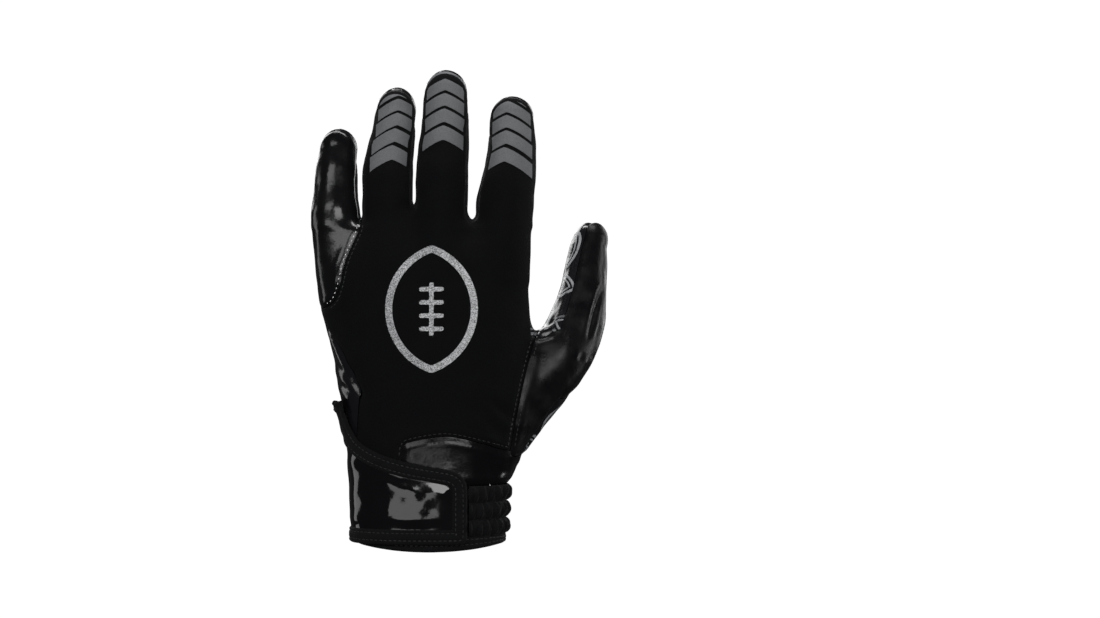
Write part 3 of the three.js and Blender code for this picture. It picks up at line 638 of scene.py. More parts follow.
def finger_of(x, z):
    """Number of the finger that each point belongs to, from the little finger."""
    high = np.maximum(z, PALM_LENGTH)
    number = np.zeros(len(x), int)
    for left, right in zip(FINGERS[:-1], FINGERS[1:]):
        number += x > (finger_edge(left, high, 1) + finger_edge(right, high, -1)) / 2
    return number


def seam_depth(x, z, side):
    """Depth of the back seam (side -1) or the palm seam (side 1)."""
    number = finger_of(x, z)
    on_finger = np.zeros(len(x))
    for i, name in enumerate(FINGERS):
        digit = DIGITS[name]
        mine = number == i
        share = share_at_height(digit, z[mine])
        centre = digit_centre(digit, share)
        outer = (x[mine] < centre[:, 0]) if i == 0 else (x[mine] > centre[:, 0]) & (i == 3)
        narrowing = np.clip((FOURCHETTE_END - share) / FOURCHETTE_TAPER, 0, 1)
        half_strip = np.where(outer, 0, FOURCHETTE_BREADTH / 2 * narrowing)
        over_tip = np.clip((share - FOURCHETTE_END) / (1 - FOURCHETTE_END), 0, 1)
        to_back = over_tip * digit["size"][2] * TIP_WRAP
        on_finger[mine] = centre[:, 1] + SEAM_DROP + side * half_strip - to_back
    edge = column_at(OUTER_EDGE_SEAM, OUTER_EDGE_COLUMNS, "depth", z / PALM_LENGTH) * PALM_DEPTH
    on_palm = np.where(x < 0, edge, 0)
    turn = np.clip((z / PALM_LENGTH - FINGER_SEAM_START) / FINGER_SEAM_BLEND, 0, 1)
    return on_palm + (on_finger - on_palm) * turn


def elastic_side(p):
    left = np.where(p[:, 1] < 0, ELASTIC_LEFT, ELASTIC_PALM_LEFT)
    return np.minimum(p[:, 0] - left, ELASTIC_TOP - p[:, 2])


def thumb_side(p):
    return -signed_distance(corner_path(shares_to_mm(THUMB_SEAM)), p[:, 0], p[:, 2])


def pinky_side(p):
    return signed_distance(corner_path(shares_to_mm(PINKY_SEAM)), p[:, 0], p[:, 2])


def patch_side(p):
    return signed_distance(corner_path(PATCH_EDGE), p[:, 0], p[:, 2])


# The thumb's printed pad: the way it faces, its seam, and the plain heel on the back of its root
PAD_NORMAL = np.array([-0.9, 0.43, 0.0]) / math.hypot(0.9, 0.43)
PAD_MIDDLE = 0.75
PAD_HEEL_TOP = 0.72
PAD_HEEL_DEPTH = 2.0

# The print in mm: pitch of its grid, the arcs of its ovals, and the heights of its turn onto the fingers
PRINT_PITCH = 19.0
PRINT_RADIUS = 12.0
PRINT_HALF = 6.4
PRINT_EDGE = 0.07
PRINT_TURN = (142, 160)
PRINT_LACE_PITCH = 2.2
THUMB_PRINT_TURN = math.radians(60)
UV_UNIT = 100.0

# Where a panel is sewn its edge turns in by the dip, with a slight roll beside the seam
EDGE_DIP = 0.5
EDGE_REACH = 1.3
SHARP_ANGLE = math.radians(50)


def pad_side(p):
    """Positive on the thumb's printed pad."""
    middle = digit_centre(DIGITS["thumb"], PAD_MIDDLE)[0]
    heel_sides = [middle[0] - p[:, 0], PALM_LENGTH * PAD_HEEL_TOP - p[:, 2], PAD_HEEL_DEPTH - p[:, 1]]
    return np.minimum((p - middle) @ PAD_NORMAL, -np.min(heel_sides, axis=0))


def back_side(p):
    return seam_depth(p[:, 0], p[:, 2], -1) - p[:, 1]


def palm_side(p):
    return p[:, 1] - seam_depth(p[:, 0], p[:, 2], 1)


def side_of(function, sign=1):
    """The side of a seam where its function has this sign, less half the gap."""
    return lambda p: sign * function(p) - HALF_GAP


def print_place(p):
    """Place on the unrolled leather, in mm: across the palm or around a finger, and up."""
    x, y, z = p.T
    number = finger_of(x, z)
    around = x.copy()
    for i, name in enumerate(FINGERS):
        digit = DIGITS[name]
        mine = number == i
        share = share_at_height(digit, z[mine])
        centre = digit_centre(digit, share)
        angle = np.arctan2(x[mine] - centre[:, 0], y[mine] - centre[:, 1])
        around[mine] = centre[:, 0] + half_breadth(digit, share) * angle
    return np.stack([x + (around - x) * step_up(z, *PRINT_TURN), z], 1)


def thumb_print_place(p):
    """The same for the thumb: around it and along it."""
    thumb = DIGITS["thumb"]
    root, along, side, inward = digit_frame(thumb)
    up = (p - root) @ along
    share = np.clip(up / thumb["size"][0], 0, 1)
    offset = p - digit_centre(thumb, share)
    angle = np.arctan2(offset @ side, offset @ inward) + THUMB_PRINT_TURN
    angle = (angle + math.pi) % (2 * math.pi) - math.pi
    return np.stack([half_breadth(thumb, share) * angle, up], 1)


def soften_edges(patch, seams):
    distance = np.min([np.abs(seam(patch.verts)) for seam in seams], axis=0)
    roll = 0.25 * bell(distance - 2.4 * EDGE_REACH, 1.2 * EDGE_REACH)
    patch.push(roll - EDGE_DIP * bell(distance, EDGE_REACH))


PIECES = {}


def add_object(name, data):
    obj = bpy.data.objects.new(name, data)
    bpy.context.scene.collection.objects.link(obj)
    return obj


def make_piece(name, patch, material, slot=None):
    """Blender object of a patch. With a slot it takes the place of the CAD node of its name."""
    mesh = bpy.data.meshes.new(name)
    mesh.from_pydata((patch.verts * MM).tolist(), [], patch.tris.tolist())
    mesh.update()
    mesh.polygons.foreach_set("use_smooth", [True] * len(mesh.polygons))
    mesh.set_sharp_from_angle(angle=SHARP_ANGLE)
    if "printed" in patch.data:
        layer = mesh.uv_layers.new(name="print")
        loops = np.zeros(len(mesh.loops), int)
        mesh.loops.foreach_get("vertex_index", loops)
        layer.data.foreach_set("uv", (patch.data["uv"][loops] / UV_UNIT).ravel())
        attribute = mesh.attributes.new("printed", "FLOAT", "POINT")
        attribute.data.foreach_set("value", patch.data["printed"])
    mesh.materials.append(material)
    obj = add_object(name, mesh)
    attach(obj, "root")
    if slot:
        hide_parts(name)
    PIECES[name] = obj


class Nodes:
    """Short calls that build a material. An input is a value or another node's output."""

    def __init__(self, name):
        self.material = bpy.data.materials.new(name)
        self.material.use_nodes = True
        self.tree = self.material.node_tree
        self.shader = self.tree.nodes["Principled BSDF"]

    def feed(self, socket, value):
        if isinstance(value, bpy.types.NodeSocket):
            self.tree.links.new(value, socket)
        else:
            socket.default_value = value

    def add(self, kind, inputs=None, **settings):
        node = self.tree.nodes.new(kind)
        for key, value in settings.items():
            setattr(node, key, value)
        for key, value in (inputs or {}).items():
            self.feed(node.inputs[key], value)
        return node

    def math(self, operation, *inputs):
        return self.add("ShaderNodeMath", dict(enumerate(inputs)), operation=operation).outputs[0]

    def place(self):
        return self.add("ShaderNodeTexCoord").outputs["Object"]

    def noise(self, scale, detail=3.0, roughness=0.5):
        inputs = {"Scale": scale, "Detail": detail, "Roughness": roughness, "Vector": self.place()}
        return self.add("ShaderNodeTexNoise", inputs).outputs["Fac"]

    def cells(self, scale):
        return self.add("ShaderNodeTexVoronoi", {"Scale": scale, "Vector": self.place()}).outputs

    def ramp(self, value, low, high, start=0.0, end=1.0):
        inputs = {"Value": value, "From Min": low, "From Max": high, "To Min": start, "To Max": end}
        return self.add("ShaderNodeMapRange", inputs).outputs["Result"]

    def colour_mix(self, factor, low, high):
        inputs = {"Factor": factor, "A": (*low, 1), "B": (*high, 1)}
        return self.add("ShaderNodeMix", inputs, data_type="RGBA").outputs["Result"]

    def shades(self, factor, colour, low=0.7, high=1.4):
        """A colour that varies from a darker to a lighter shade of itself."""
        return self.colour_mix(factor, [low * c for c in colour], [high * c for c in colour])

    def bump(self, height, distance, strength=1.0, before=None):
        inputs = {"Height": height, "Distance": distance, "Strength": strength}
        if before is not None:
            inputs["Normal"] = before
        return self.add("ShaderNodeBump", inputs).outputs["Normal"]

    def set(self, **values):
        for key, value in values.items():
            self.feed(self.shader.inputs[key.replace("_", " ")], value)


def knit_material(name, colour):
    """Fine stretch knit: rows of tiny loops with a faint sheen."""
    n = Nodes(name)
    mottle = n.noise(90, 4)
    n.set(Base_Color=n.shades(n.ramp(mottle, 0.3, 0.7), colour, 0.75, 1.25))
    n.set(Roughness=n.ramp(mottle, 0.3, 0.7, 0.79, 0.91))
    n.set(Normal=n.bump(n.cells(1500.0)["Distance"], 0.00015, 0.7))
    n.set(Sheen_Weight=0.016, Sheen_Roughness=0.5, Specular_IOR_Level=0.07)
    return n.material


def gloss_material(name, colour, roughness, wrinkle, grain=0.5, shine=0.5):
    """Coated leather: fine grain, soft wrinkles and a slightly uneven shine."""
    n = Nodes(name)
    n.set(Base_Color=n.shades(n.noise(40, 3), colour))
    n.set(Roughness=n.ramp(n.noise(120, 3), 0.3, 0.7, roughness * 0.7, roughness * 1.5))
    wrinkles = n.bump(n.noise(85, 4, roughness=0.55), wrinkle)
    n.set(Normal=n.bump(n.noise(900, 2), 0.00006, grain, wrinkles))
    n.set(Specular_IOR_Level=shine)
    return n.material


def print_mask(n):
    """Pointed ovals with laces on a square grid, each second one turned by 90 degrees."""
    split = n.add("ShaderNodeSeparateXYZ", {0: n.add("ShaderNodeUVMap", uv_map="print").outputs["UV"]})
    u, v = (n.math("MULTIPLY", split.outputs[k], UV_UNIT / PRINT_PITCH) for k in (0, 1))
    turned = n.math("FLOORED_MODULO", n.math("ADD", n.math("FLOOR", u), n.math("FLOOR", v)), 2.0)

    def from_middle(cell):
        share = n.math("SUBTRACT", n.math("FLOORED_MODULO", cell, 1.0), 0.5)
        return n.math("ABSOLUTE", n.math("MULTIPLY", share, PRINT_PITCH))

    def either(plain, other):
        """The first value, or the second in a turned cell."""
        return n.math("MULTIPLY_ADD", turned, n.math("SUBTRACT", other, plain), plain)

    def line(value, middle, half):
        off = n.math("ABSOLUTE", n.math("SUBTRACT", value, middle))
        return n.ramp(off, half - PRINT_EDGE, half + PRINT_EDGE, 1.0, 0.0)

    first, second = from_middle(u), from_middle(v)
    across, up = either(first, second), either(second, first)
    offset = n.math("ADD", across, PRINT_RADIUS - PRINT_HALF)
    squares = n.math("ADD", n.math("POWER", offset, 2.0), n.math("POWER", up, 2.0))
    inside = n.math("SUBTRACT", PRINT_RADIUS, n.math("SQRT", squares))
    rings = n.math("MAXIMUM", line(inside, 0.6, 0.6), line(inside, 2.6, 0.42))
    step = n.math("SUBTRACT", n.math("FLOORED_MODULO", up, PRINT_LACE_PITCH), PRINT_LACE_PITCH / 2)
    laces = n.math("MULTIPLY", line(step, 0.0, 0.38), line(across, 0.0, 1.7))
    middle = n.math("MAXIMUM", line(across, 0.0, 0.4), laces)
    middle = n.math("MULTIPLY", middle, n.ramp(up, 3.9, 4.05, 1.0, 0.0))
    worn = n.ramp(n.noise(260, 4), 0.30, 0.42)
    printed_here = n.add("ShaderNodeAttribute", attribute_name="printed").outputs["Fac"]
    return n.math("MULTIPLY", n.math("MULTIPLY", n.math("MAXIMUM", rings, middle), worn), printed_here)


def printed_material(name):
    """Gloss black leather with a silver-grey line print."""
    n = Nodes(name)
    mask = print_mask(n)
    n.set(Base_Color=n.colour_mix(mask, (0.005, 0.005, 0.006), (0.21, 0.217, 0.225)))
    n.set(Roughness=n.ramp(mask, 0.0, 1.0, 0.17, 0.42), Specular_IOR_Level=0.5)
    n.set(Normal=n.bump(mask, 0.00008, 0.6, n.bump(n.noise(85, 4), 0.0006)))
    return n.material


def film_material(name, colour, roughness, glitter):
    """Printed film: matte grey, or with a scatter of bright flakes."""
    n = Nodes(name)
    flake = n.add("ShaderNodeSeparateColor", {0: n.cells(3000.0)["Color"]}).outputs[0]
    n.set(Base_Color=n.shades(flake, colour, 1 - glitter, 1 + 1.6 * glitter), Roughness=roughness)
    n.set(Normal=n.bump(flake, 0.00006, 0.5))
    return n.material


def woven_material(name, colour):
    """Woven tape: fine ribs crossed by threads."""
    n = Nodes(name)
    heights = []
    for direction in ("X", "Z"):
        inputs = {"Scale": 1700 / (2 * math.pi), "Vector": n.place()}
        heights.append(n.add("ShaderNodeTexWave", inputs, bands_direction=direction).outputs["Fac"])
    n.set(Base_Color=n.shades(n.noise(150, 4), colour))
    n.set(Roughness=0.88, Sheen_Weight=0.02, Sheen_Roughness=0.5, Specular_IOR_Level=0.09)
    n.set(Normal=n.bump(n.math("MULTIPLY", *heights), 0.00012, 0.8))
    return n.material


GLOSS_BLACK = (0.003, 0.003, 0.0035)
knit = knit_material("back_knit", (0.0018, 0.0019, 0.0022))
side_knit = knit_material("side_knit", (0.006, 0.006, 0.007))
satin = gloss_material("thumb_satin", GLOSS_BLACK, roughness=0.3, wrinkle=0.0003, shine=0.14)
gloss = gloss_material("gloss_leather", (0.0035, 0.0036, 0.004), roughness=0.17, wrinkle=0.0004, shine=0.26)
patch_gloss = gloss_material("patch_gloss", GLOSS_BLACK, roughness=0.2, wrinkle=0.0003, shine=0.16)
strap_gloss = gloss_material(
    "strap_gloss", GLOSS_BLACK, roughness=0.07, wrinkle=0.00012, grain=0.12, shine=0.36
)
printed = printed_material("printed_palm")
band_film = film_material("band_film", (0.08, 0.083, 0.087), 0.65, 0.12)
emblem_film = film_material("emblem_film", (0.165, 0.168, 0.173), 0.36, 0.95)
binding = woven_material("binding", (0.0032, 0.0033, 0.0038))
elastic_cloth = woven_material("elastic", (0.0030, 0.0031, 0.0036))
thread = gloss_material("thread", (0.014, 0.014, 0.015), roughness=0.5, wrinkle=0.0001, shine=0.3)
# This light grey thread colour is a painted highlight: it stands for the glint along the pinky seam
glint_thread = gloss_material("glint_thread", (0.55, 0.55, 0.55), roughness=0.5, wrinkle=0.0001)


def formed_hand():
    """The hand's surface with its folds, finger creases and slight unevenness."""
    patch = hand_surface()
    uneven = 0.22 * waves(patch.verts, 26, 9, 3) + 0.1 * waves(patch.verts, 11, 9, 5)
    patch.push(fold_depth(patch.verts, patch.data["normal"]) + uneven)
    patch.find_normals()
    return patch


def printed_share(patch):
    """1 where a panel carries the print, 0 on the palm panel's outer edge and the fingertips."""
    normals = patch.data["normal"]
    outer_edge = step_up(-patch.verts[:, 0], 20, 27) * step_up(PALM_LENGTH - patch.verts[:, 2], 0, 12)
    bare_edge = outer_edge * step_up(-normals[:, 1], -0.3, -0.22)
    return (1 - bare_edge) * (1 - step_up(normals[:, 2], 0.5, 0.72))


def make_panels(hand):
    above_hem = hand.cut(lambda p: p[:, 2] - HEM_HEIGHT - HALF_GAP)
    not_thumb = above_hem.cut(side_of(thumb_side, -1), side_of(elastic_side, -1))
    thumb = above_hem.cut(side_of(thumb_side))
    back = not_thumb.cut(side_of(back_side))
    main_back = back.cut(side_of(pinky_side, -1))
    palm = not_thumb.cut(side_of(palm_side))
    rows = [
        ("pinky_panel", back.cut(side_of(pinky_side)), [pinky_side, back_side], gloss, "gloss_leather"),
        ("back_panel", main_back.cut(side_of(patch_side, -1)),
         [pinky_side, patch_side, thumb_side, back_side], knit, "knit"),
        ("wrist_patch", main_back.cut(side_of(patch_side)),
         [patch_side, elastic_side], patch_gloss, "gloss_leather"),
        ("palm_panel", palm, [palm_side, thumb_side, elastic_side], printed, "printed_palm"),
        ("thumb_pad", thumb.cut(side_of(pad_side)), [pad_side, thumb_side], printed, "printed_palm"),
        ("thumb_back", thumb.cut(side_of(pad_side, -1)), [pad_side, thumb_side], satin, "thumb_satin"),
    ]
    for name, patch, seams, material, slot in rows:
        place = thumb_print_place if name.startswith("thumb") else print_place
        patch.data["uv"] = place(patch.verts)
        patch.data["printed"] = printed_share(patch)
        soften_edges(patch, seams)
        shell = patch.thicken(WALL)
        shell.data["printed"][len(patch.verts):] = 0
        make_piece(name, shell, material, slot)
    strips = not_thumb.cut(side_of(back_side, -1), side_of(palm_side, -1))
    strips = strips.cut(lambda p: p[:, 2] - PALM_LENGTH * FINGER_SEAM_START)
    for left, right in zip(FINGERS[:-1], FINGERS[1:]):
        low, high = (digit_centre(DIGITS[name], 0.5)[0, 0] for name in (left, right))
        strip = strips.cut(lambda p: np.minimum(p[:, 0] - low, high - p[:, 0]))
        soften_edges(strip, [back_side, palm_side])
        make_piece(f"fourchette_{left}_{right}", strip.thicken(WALL), side_knit, "side_strip")


# Films in mm: the banded fingers with their peak's place across and the first band's place up, as shares
FILM = 0.25
FILM_LIFT = 0.14
FILM_REACH = 8.0
BANDED_FINGERS = [("ring", 0.22, 0.6), ("middle", 0.0, 0.645), ("index", -0.26, 0.62)]
BANDS_PER_FINGER = 4
BAND_PITCH = 8.7
BAND_FILL = 0.77
BAND_PITCH_SHRINK = 0.55
BAND_SPREAD = 0.86
BAND_SLOPE = 0.36
BAND_CURVE = 0.02
EMBLEM_PLACE = (1.0, 110.0)
EMBLEM_HEIGHT = 58.0
EMBLEM_BREADTH = 42.0
EMBLEM_LINE = 3.2
LACE_LENGTH = 24.0
LACE_BREADTH = 11.0
LACE_COUNT = 4
LACE_SPAN = 18.0
LACE_LINE = 2.0

# The strap in mm, and the curves of its outer edge from the back: start, control and end
STRAP_LIFT = 1.2
STRAP_THICKNESS = 1.5
STRAP_WRAP = 4.0
STRAP_ROOT = -90.0
STRAP_CURVES = [
    ((13.5, 3.5), (17.5, 3.5), (17.5, 7.5)),
    ((17.5, 27.5), (17.5, 35.8), (8.5, 37.6)),
    ((0.0, 39.0), (-23.5, 42.5), (-32.5, 50.0)),
    ((-33.2, 50.8), (-38.5, 57.0), (-40.5, 68.0)),
]
STRAP_PANEL_WALL = 1.2
STRAP_PILLOW = 0.5
STRAP_SINK = 0.35
BINDING_PROUD = 0.6
BINDING_BREADTH = 7.0
BINDING_WALL = 1.6
SEWING_ROWS = (2.0, 5.3)
BUNCHED_FROM = (60, 65)

# Section of the hem: how far out, and the share of its height
HEM_PROFILE = [
    (-WALL, 1.0), (-WALL, 0.25), (-1.1, 0.07), (-0.5, 0.0), (0.3, 0.02), (0.8, 0.1), (HEM_PROUD, 0.22),
    (HEM_PROUD, 0.36), (HEM_PROUD - 0.25, 0.42), (HEM_PROUD, 0.48), (HEM_PROUD + 0.1, 0.62),
    (HEM_PROUD, 0.74), (HEM_PROUD - 0.25, 0.8), (HEM_PROUD, 0.86), (0.7, 0.95), (0.3, 1.0),
]
HEM_SEWING_ROWS = (0.42, 0.8)
HEM_SIDES = 420

# Elastic: lobes, and waves of its puckers as count round the wrist, size and slant
ELASTIC_LOBES = 3
ELASTIC_LOBE_DEPTH = 2.56
PUCKERS = [(41, 1.0, 2.2), (67, 0.6, -2.5), (23, 0.5, 0.0)]

# Stitches in mm, and the outline of one thread: share of its length, size and rise
STITCH_PITCH = 2.3
STITCH_LENGTH = 1.6
NEEDLE_STITCH_LENGTH = 0.9
STITCH_SIDES = 6
STITCH_OUTLINE = [(0, 0.35, -0.4), (0.15, 0.85, 0.1), (0.5, 1, 0.35), (0.85, 0.85, 0.1), (1, 0.35, -0.4)]
PINKY_SEWN = (111, 150)
THUMB_SEWN = (46, 116)


def make_bands(back):
    """Chevron bands, the last one on each finger with a sliver that goes over the tip."""
    for finger, peak, first_up in BANDED_FINGERS:
        digit = DIGITS[finger]
        length = digit["size"][0]
        along = first_up * length
        for band in range(BANDS_PER_FINGER):
            last = band == BANDS_PER_FINGER - 1
            pitch = BAND_PITCH - BAND_PITCH_SHRINK * band
            centre = digit_centre(digit, along / length)[0]
            half = BAND_SPREAD * half_breadth(digit, along / length)
            peak_x = centre[0] + peak * half

            def in_band(p):
                across = np.abs(p[:, 0] - peak_x)
                over = p[:, 2] - centre[2] + BAND_SLOPE * across + BAND_CURVE * across**2
                inside = np.minimum(over, BAND_FILL * pitch - over)
                return np.maximum(inside, over - pitch) if last else inside

            patch = back.cut(
                lambda p: half - np.abs(p[:, 0] - centre[0]),
                lambda p: centre[1] + 1 - p[:, 1],
                in_band,
            )
            make_piece(f"band_{finger}_{band + 1}", patch.thicken(FILM), band_film, "band_film")
            along += pitch


def make_badge(back):
    """Outline of a pointed ball, with its laces."""
    radius = (EMBLEM_HEIGHT**2 + EMBLEM_BREADTH**2) / (4 * EMBLEM_BREADTH)

    def from_centre(p):
        return np.abs(p[:, 0] - EMBLEM_PLACE[0]), p[:, 2] - EMBLEM_PLACE[1]

    def in_oval(p):
        u, v = from_centre(p)
        return radius - np.hypot(u + radius - EMBLEM_BREADTH / 2, v)

    def in_laces(p):
        u, v = from_centre(p)
        total = np.minimum(LACE_LINE / 2 - u, LACE_LENGTH / 2 - np.abs(v))
        for up in np.linspace(-LACE_SPAN / 2, LACE_SPAN / 2, LACE_COUNT):
            total = np.maximum(total, np.minimum(LACE_BREADTH / 2 - u, LACE_LINE / 2 - np.abs(v - up)))
        return total

    oval = back.cut(lambda p: -p[:, 1], in_oval)
    shapes = {"emblem_outline": lambda p: EMBLEM_LINE - in_oval(p), "emblem_laces": in_laces}
    for name, shape in shapes.items():
        make_piece(name, oval.cut(shape).thicken(FILM), emblem_film, "emblem_film")


def section_points(angle, z, lift):
    """Points on the palm's section at a height, lifted outwards."""
    centre, half, power = palm_section(z)
    cos, sin = np.cos(angle), np.sin(angle)
    x = centre[0] + (half[0] + lift) * np.sign(cos) * np.abs(cos) ** (2 / power)
    y = centre[1] + (half[1] + lift) * np.sign(sin) * np.abs(sin) ** (2 / power)
    return np.stack([x, y - np.maximum(sin, 0) * dent_at(x, z), z], -1)


def sleeve(lift_at, heights, angles):
    """Open tube round the palm, its lift a function of angle and height."""
    angle, z = np.meshgrid(angles, heights)
    verts = section_points(angle, z, lift_at(angle, z)).reshape(-1, 3)
    across = len(angles)
    i = np.arange(len(verts)).reshape(angle.shape)[:-1, :-1].ravel()
    patch = Patch(verts, quads(i, i + 1, i + across + 1, i + across))
    patch.find_normals()
    return patch


def strap_outline():
    """Outer edge of the strap in the view from the back, from its low root to its high root."""
    t = np.linspace(0, 1, 9)[:, None]
    rows = [[(STRAP_ROOT, STRAP_CURVES[0][0][1])]]
    for start, control, end in np.array(STRAP_CURVES):
        rows.append((1 - t) ** 2 * start + 2 * t * (1 - t) * control + t**2 * end)
    rows.append([(STRAP_ROOT, STRAP_CURVES[-1][-1][1])])
    return np.concatenate(rows)


def make_strap():
    outline = strap_outline()

    def inside(p):
        return -signed_distance(outline, p[:, 0], p[:, 2])

    angles = np.radians(np.linspace(160, 320, 421))
    whole = sleeve(lambda angle, z: STRAP_LIFT + STRAP_THICKNESS, np.linspace(2, 70, 151), angles)
    whole = whole.cut(lambda p: STRAP_WRAP - p[:, 1])
    panel = whole.cut(lambda p: inside(p) - BINDING_BREADTH + SEAM_GAP)
    depth = inside(panel.verts) - BINDING_BREADTH
    dents = 0.16 * waves(panel.verts, 14, 7, 11) * step_up(depth, 0, 4)
    panel.push(STRAP_PILLOW * step_up(depth, 0, 5) + dents - STRAP_SINK)
    panel.find_normals()
    make_piece("strap_panel", panel.thicken(STRAP_PANEL_WALL), strap_gloss, "strap_gloss")

    edging = whole.cut(
        lambda p: inside(p) - 0.02,
        lambda p: BINDING_BREADTH - inside(p),
        lambda p: -elastic_side(p) - 0.1,
    )
    depth = inside(edging.verts)
    from_edge = np.minimum(depth, BINDING_BREADTH - depth)
    profile = BINDING_PROUD - 1.1 * np.exp(-from_edge / 0.5) + 0.08 * waves(edging.verts, 7, 9, 21)
    for row in SEWING_ROWS:
        profile -= 0.32 * bell(depth - row, 0.45)
    bunched = step_up(edging.verts[:, 2], *BUNCHED_FROM)
    profile += bunched * (0.7 + 0.5 * waves(edging.verts, 4, 9, 23))
    edging.push(profile)
    edging.find_normals()
    make_piece("strap_binding", edging.thicken(BINDING_WALL), binding, "binding")


def hem_ring(angles, lift, share, uneven=0.0):
    """Points round the hem at a share of its height above the rim's shallow arc."""
    level = section_points(angles, np.full(len(angles), 3.0), lift)
    rim = HEM_RISE * (level[:, 0] / HEM_HALF) ** 2
    z = rim + share * (HEM_HEIGHT - rim)
    return section_points(angles, z, lift + uneven * waves(level, 9, 7, 31))


def make_hem():
    """Binding round the opening, folded over the rim, with two rows of sewing."""
    angles = np.linspace(0, 2 * math.pi, HEM_SIDES, endpoint=False)
    rings = [hem_ring(angles, lift, share, 0.12) for lift, share in HEM_PROFILE]
    tris = []
    i = np.arange(HEM_SIDES)
    j = (i + 1) % HEM_SIDES
    for row in range(len(rings)):
        a, b = row * HEM_SIDES, (row + 1) % len(rings) * HEM_SIDES
        tris.append(quads(i + a, i + b, j + b, j + a))
    make_piece("cuff_hem", Patch(np.concatenate(rings), np.concatenate(tris)), binding, "binding")


def make_elastic():
    """Shirred elastic: stacked lobes with uneven upright puckers."""
    height = (ELASTIC_TOP - HEM_HEIGHT) / ELASTIC_LOBES
    phases = np.random.default_rng(41).uniform(0, 2 * math.pi, (ELASTIC_LOBES, len(PUCKERS)))

    def lift(angle, z):
        number = np.clip(((z - HEM_HEIGHT) / height).astype(int), 0, ELASTIC_LOBES - 1)
        share = (z - HEM_HEIGHT) / height - number
        lobe = np.sqrt(np.clip(1 - (2 * share - 1) ** 2, 0, 1))
        phase = np.moveaxis(phases[number], -1, 0)
        pucker = sum(
            size * np.sin(count * angle + start + slant * share)
            for (count, size, slant), start in zip(PUCKERS, phase)
        )
        uneven = 0.35 * np.sin(7 * angle + phase[1]) + 0.25 * np.sin(13 * angle + phase[2])
        return (ELASTIC_LOBE_DEPTH + uneven) * lobe + 0.25 * pucker * lobe * (1 + lobe) - 0.1

    heights = np.linspace(HEM_HEIGHT + HALF_GAP, ELASTIC_TOP, 97)
    patch = sleeve(lift, heights, math.pi * np.linspace(-0.75, 0.6, 901)).cut(side_of(elastic_side))
    patch.find_normals()
    make_piece("elastic_gather", patch.thicken(WALL), elastic_cloth, "elastic")


def make_stitches(name, runs, material=thread, length=STITCH_LENGTH, radius=0.2):
    """Short threads lying along runs of points on a surface, each run with its outward normals."""
    verts, tris = [], []
    turn = np.linspace(0, 2 * math.pi, STITCH_SIDES, endpoint=False)
    for points, normals in runs:
        points, normals = np.array(points), np.array(normals)
        steps = np.linalg.norm(np.diff(points, axis=0), axis=1)
        along = np.concatenate([[0], np.cumsum(steps)])

        def at(place, rows):
            return np.array([np.interp(place, along, rows[:, k]) for k in range(3)])

        for middle in np.arange(STITCH_PITCH, along[-1] - STITCH_PITCH / 2, STITCH_PITCH):
            start, end = (at(middle + side * length / 2, points) for side in (-1, 1))
            up = at(middle, normals)
            up /= np.linalg.norm(up)
            tangent = (end - start) / np.linalg.norm(end - start)
            side = np.cross(tangent, up)
            first = len(verts)
            for share, size, rise in STITCH_OUTLINE:
                centre = start + (end - start) * share + up * radius * rise
                for angle in turn:
                    verts.append(centre + radius * size * (side * math.cos(angle) + up * math.sin(angle)))
            last = len(STITCH_OUTLINE) - 1
            for ring in range(last):
                for i in range(STITCH_SIDES):
                    a = first + ring * STITCH_SIDES + i
                    b = first + ring * STITCH_SIDES + (i + 1) % STITCH_SIDES
                    tris += [(a, a + STITCH_SIDES, b + STITCH_SIDES), (a, b + STITCH_SIDES, b)]
            for ring, order in ((0, 1), (last, -1)):
                base = first + ring * STITCH_SIDES
                for i in range(1, STITCH_SIDES - 1):
                    tris.append((base, base + i, base + i + 1)[::order])
    make_piece(name, Patch(np.array(verts), np.array(tris)), material)


def surface_run(tree, path):
    """Points and normals where a path in the view from the back meets a surface."""
    points, normals = [], []
    for x, z in path:
        place, normal, _, _ = tree.ray_cast(Vector((x, -100.0, z)), Vector((0, 1, 0)))
        if place is not None:
            points.append(tuple(place))
            normals.append(tuple(normal))
    return points, normals


def beside(path, offset):
    """A path moved to its left by an offset."""
    along = np.gradient(path, axis=0)
    along /= np.linalg.norm(along, axis=1, keepdims=True)
    return path + offset * np.stack([-along[:, 1], along[:, 0]], 1)


def dense(path, spacing=0.8):
    along = np.concatenate([[0], np.cumsum(np.linalg.norm(np.diff(path, axis=0), axis=1))])
    at = np.arange(0, along[-1], spacing)
    return np.stack([np.interp(at, along, path[:, k]) for k in range(2)], 1)


def tree_of(*names):
    verts, polygons = [], []
    for name in names:
        mesh = PIECES[name].data
        start = len(verts)
        verts += [v.co / MM for v in mesh.vertices]
        polygons += [[start + i for i in p.vertices] for p in mesh.polygons]
    return BVHTree.FromPolygons(verts, polygons)


def sewn(seam, low, high):
    """The path of a seam between two heights."""
    path = dense(smooth_path(seam))
    return path[(path[:, 1] > low) & (path[:, 1] < high)]


def make_panel_stitches():
    panels = tree_of("back_panel", "pinky_panel", "wrist_patch", "thumb_back", "palm_panel")
    pinky = sewn(shares_to_mm(PINKY_SEAM[1:-1]), *PINKY_SEWN)
    thumb = sewn(shares_to_mm(THUMB_SEAM[1:-2]), *THUMB_SEWN)
    patch = dense(smooth_path(PATCH_EDGE[2:-2]))
    needle_run = surface_run(panels, beside(pinky, -1.1))
    # These stitches beside the pinky seam carry the seam's painted glint in their light grey colour
    make_stitches("glinting_needle_stitches", [needle_run], glint_thread, NEEDLE_STITCH_LENGTH)
    rows = [(thumb, 1.5), (thumb, -1.5), (patch, 1.3), (pinky, 1.5)]
    make_stitches("panel_stitches", [surface_run(panels, beside(path, offset)) for path, offset in rows])


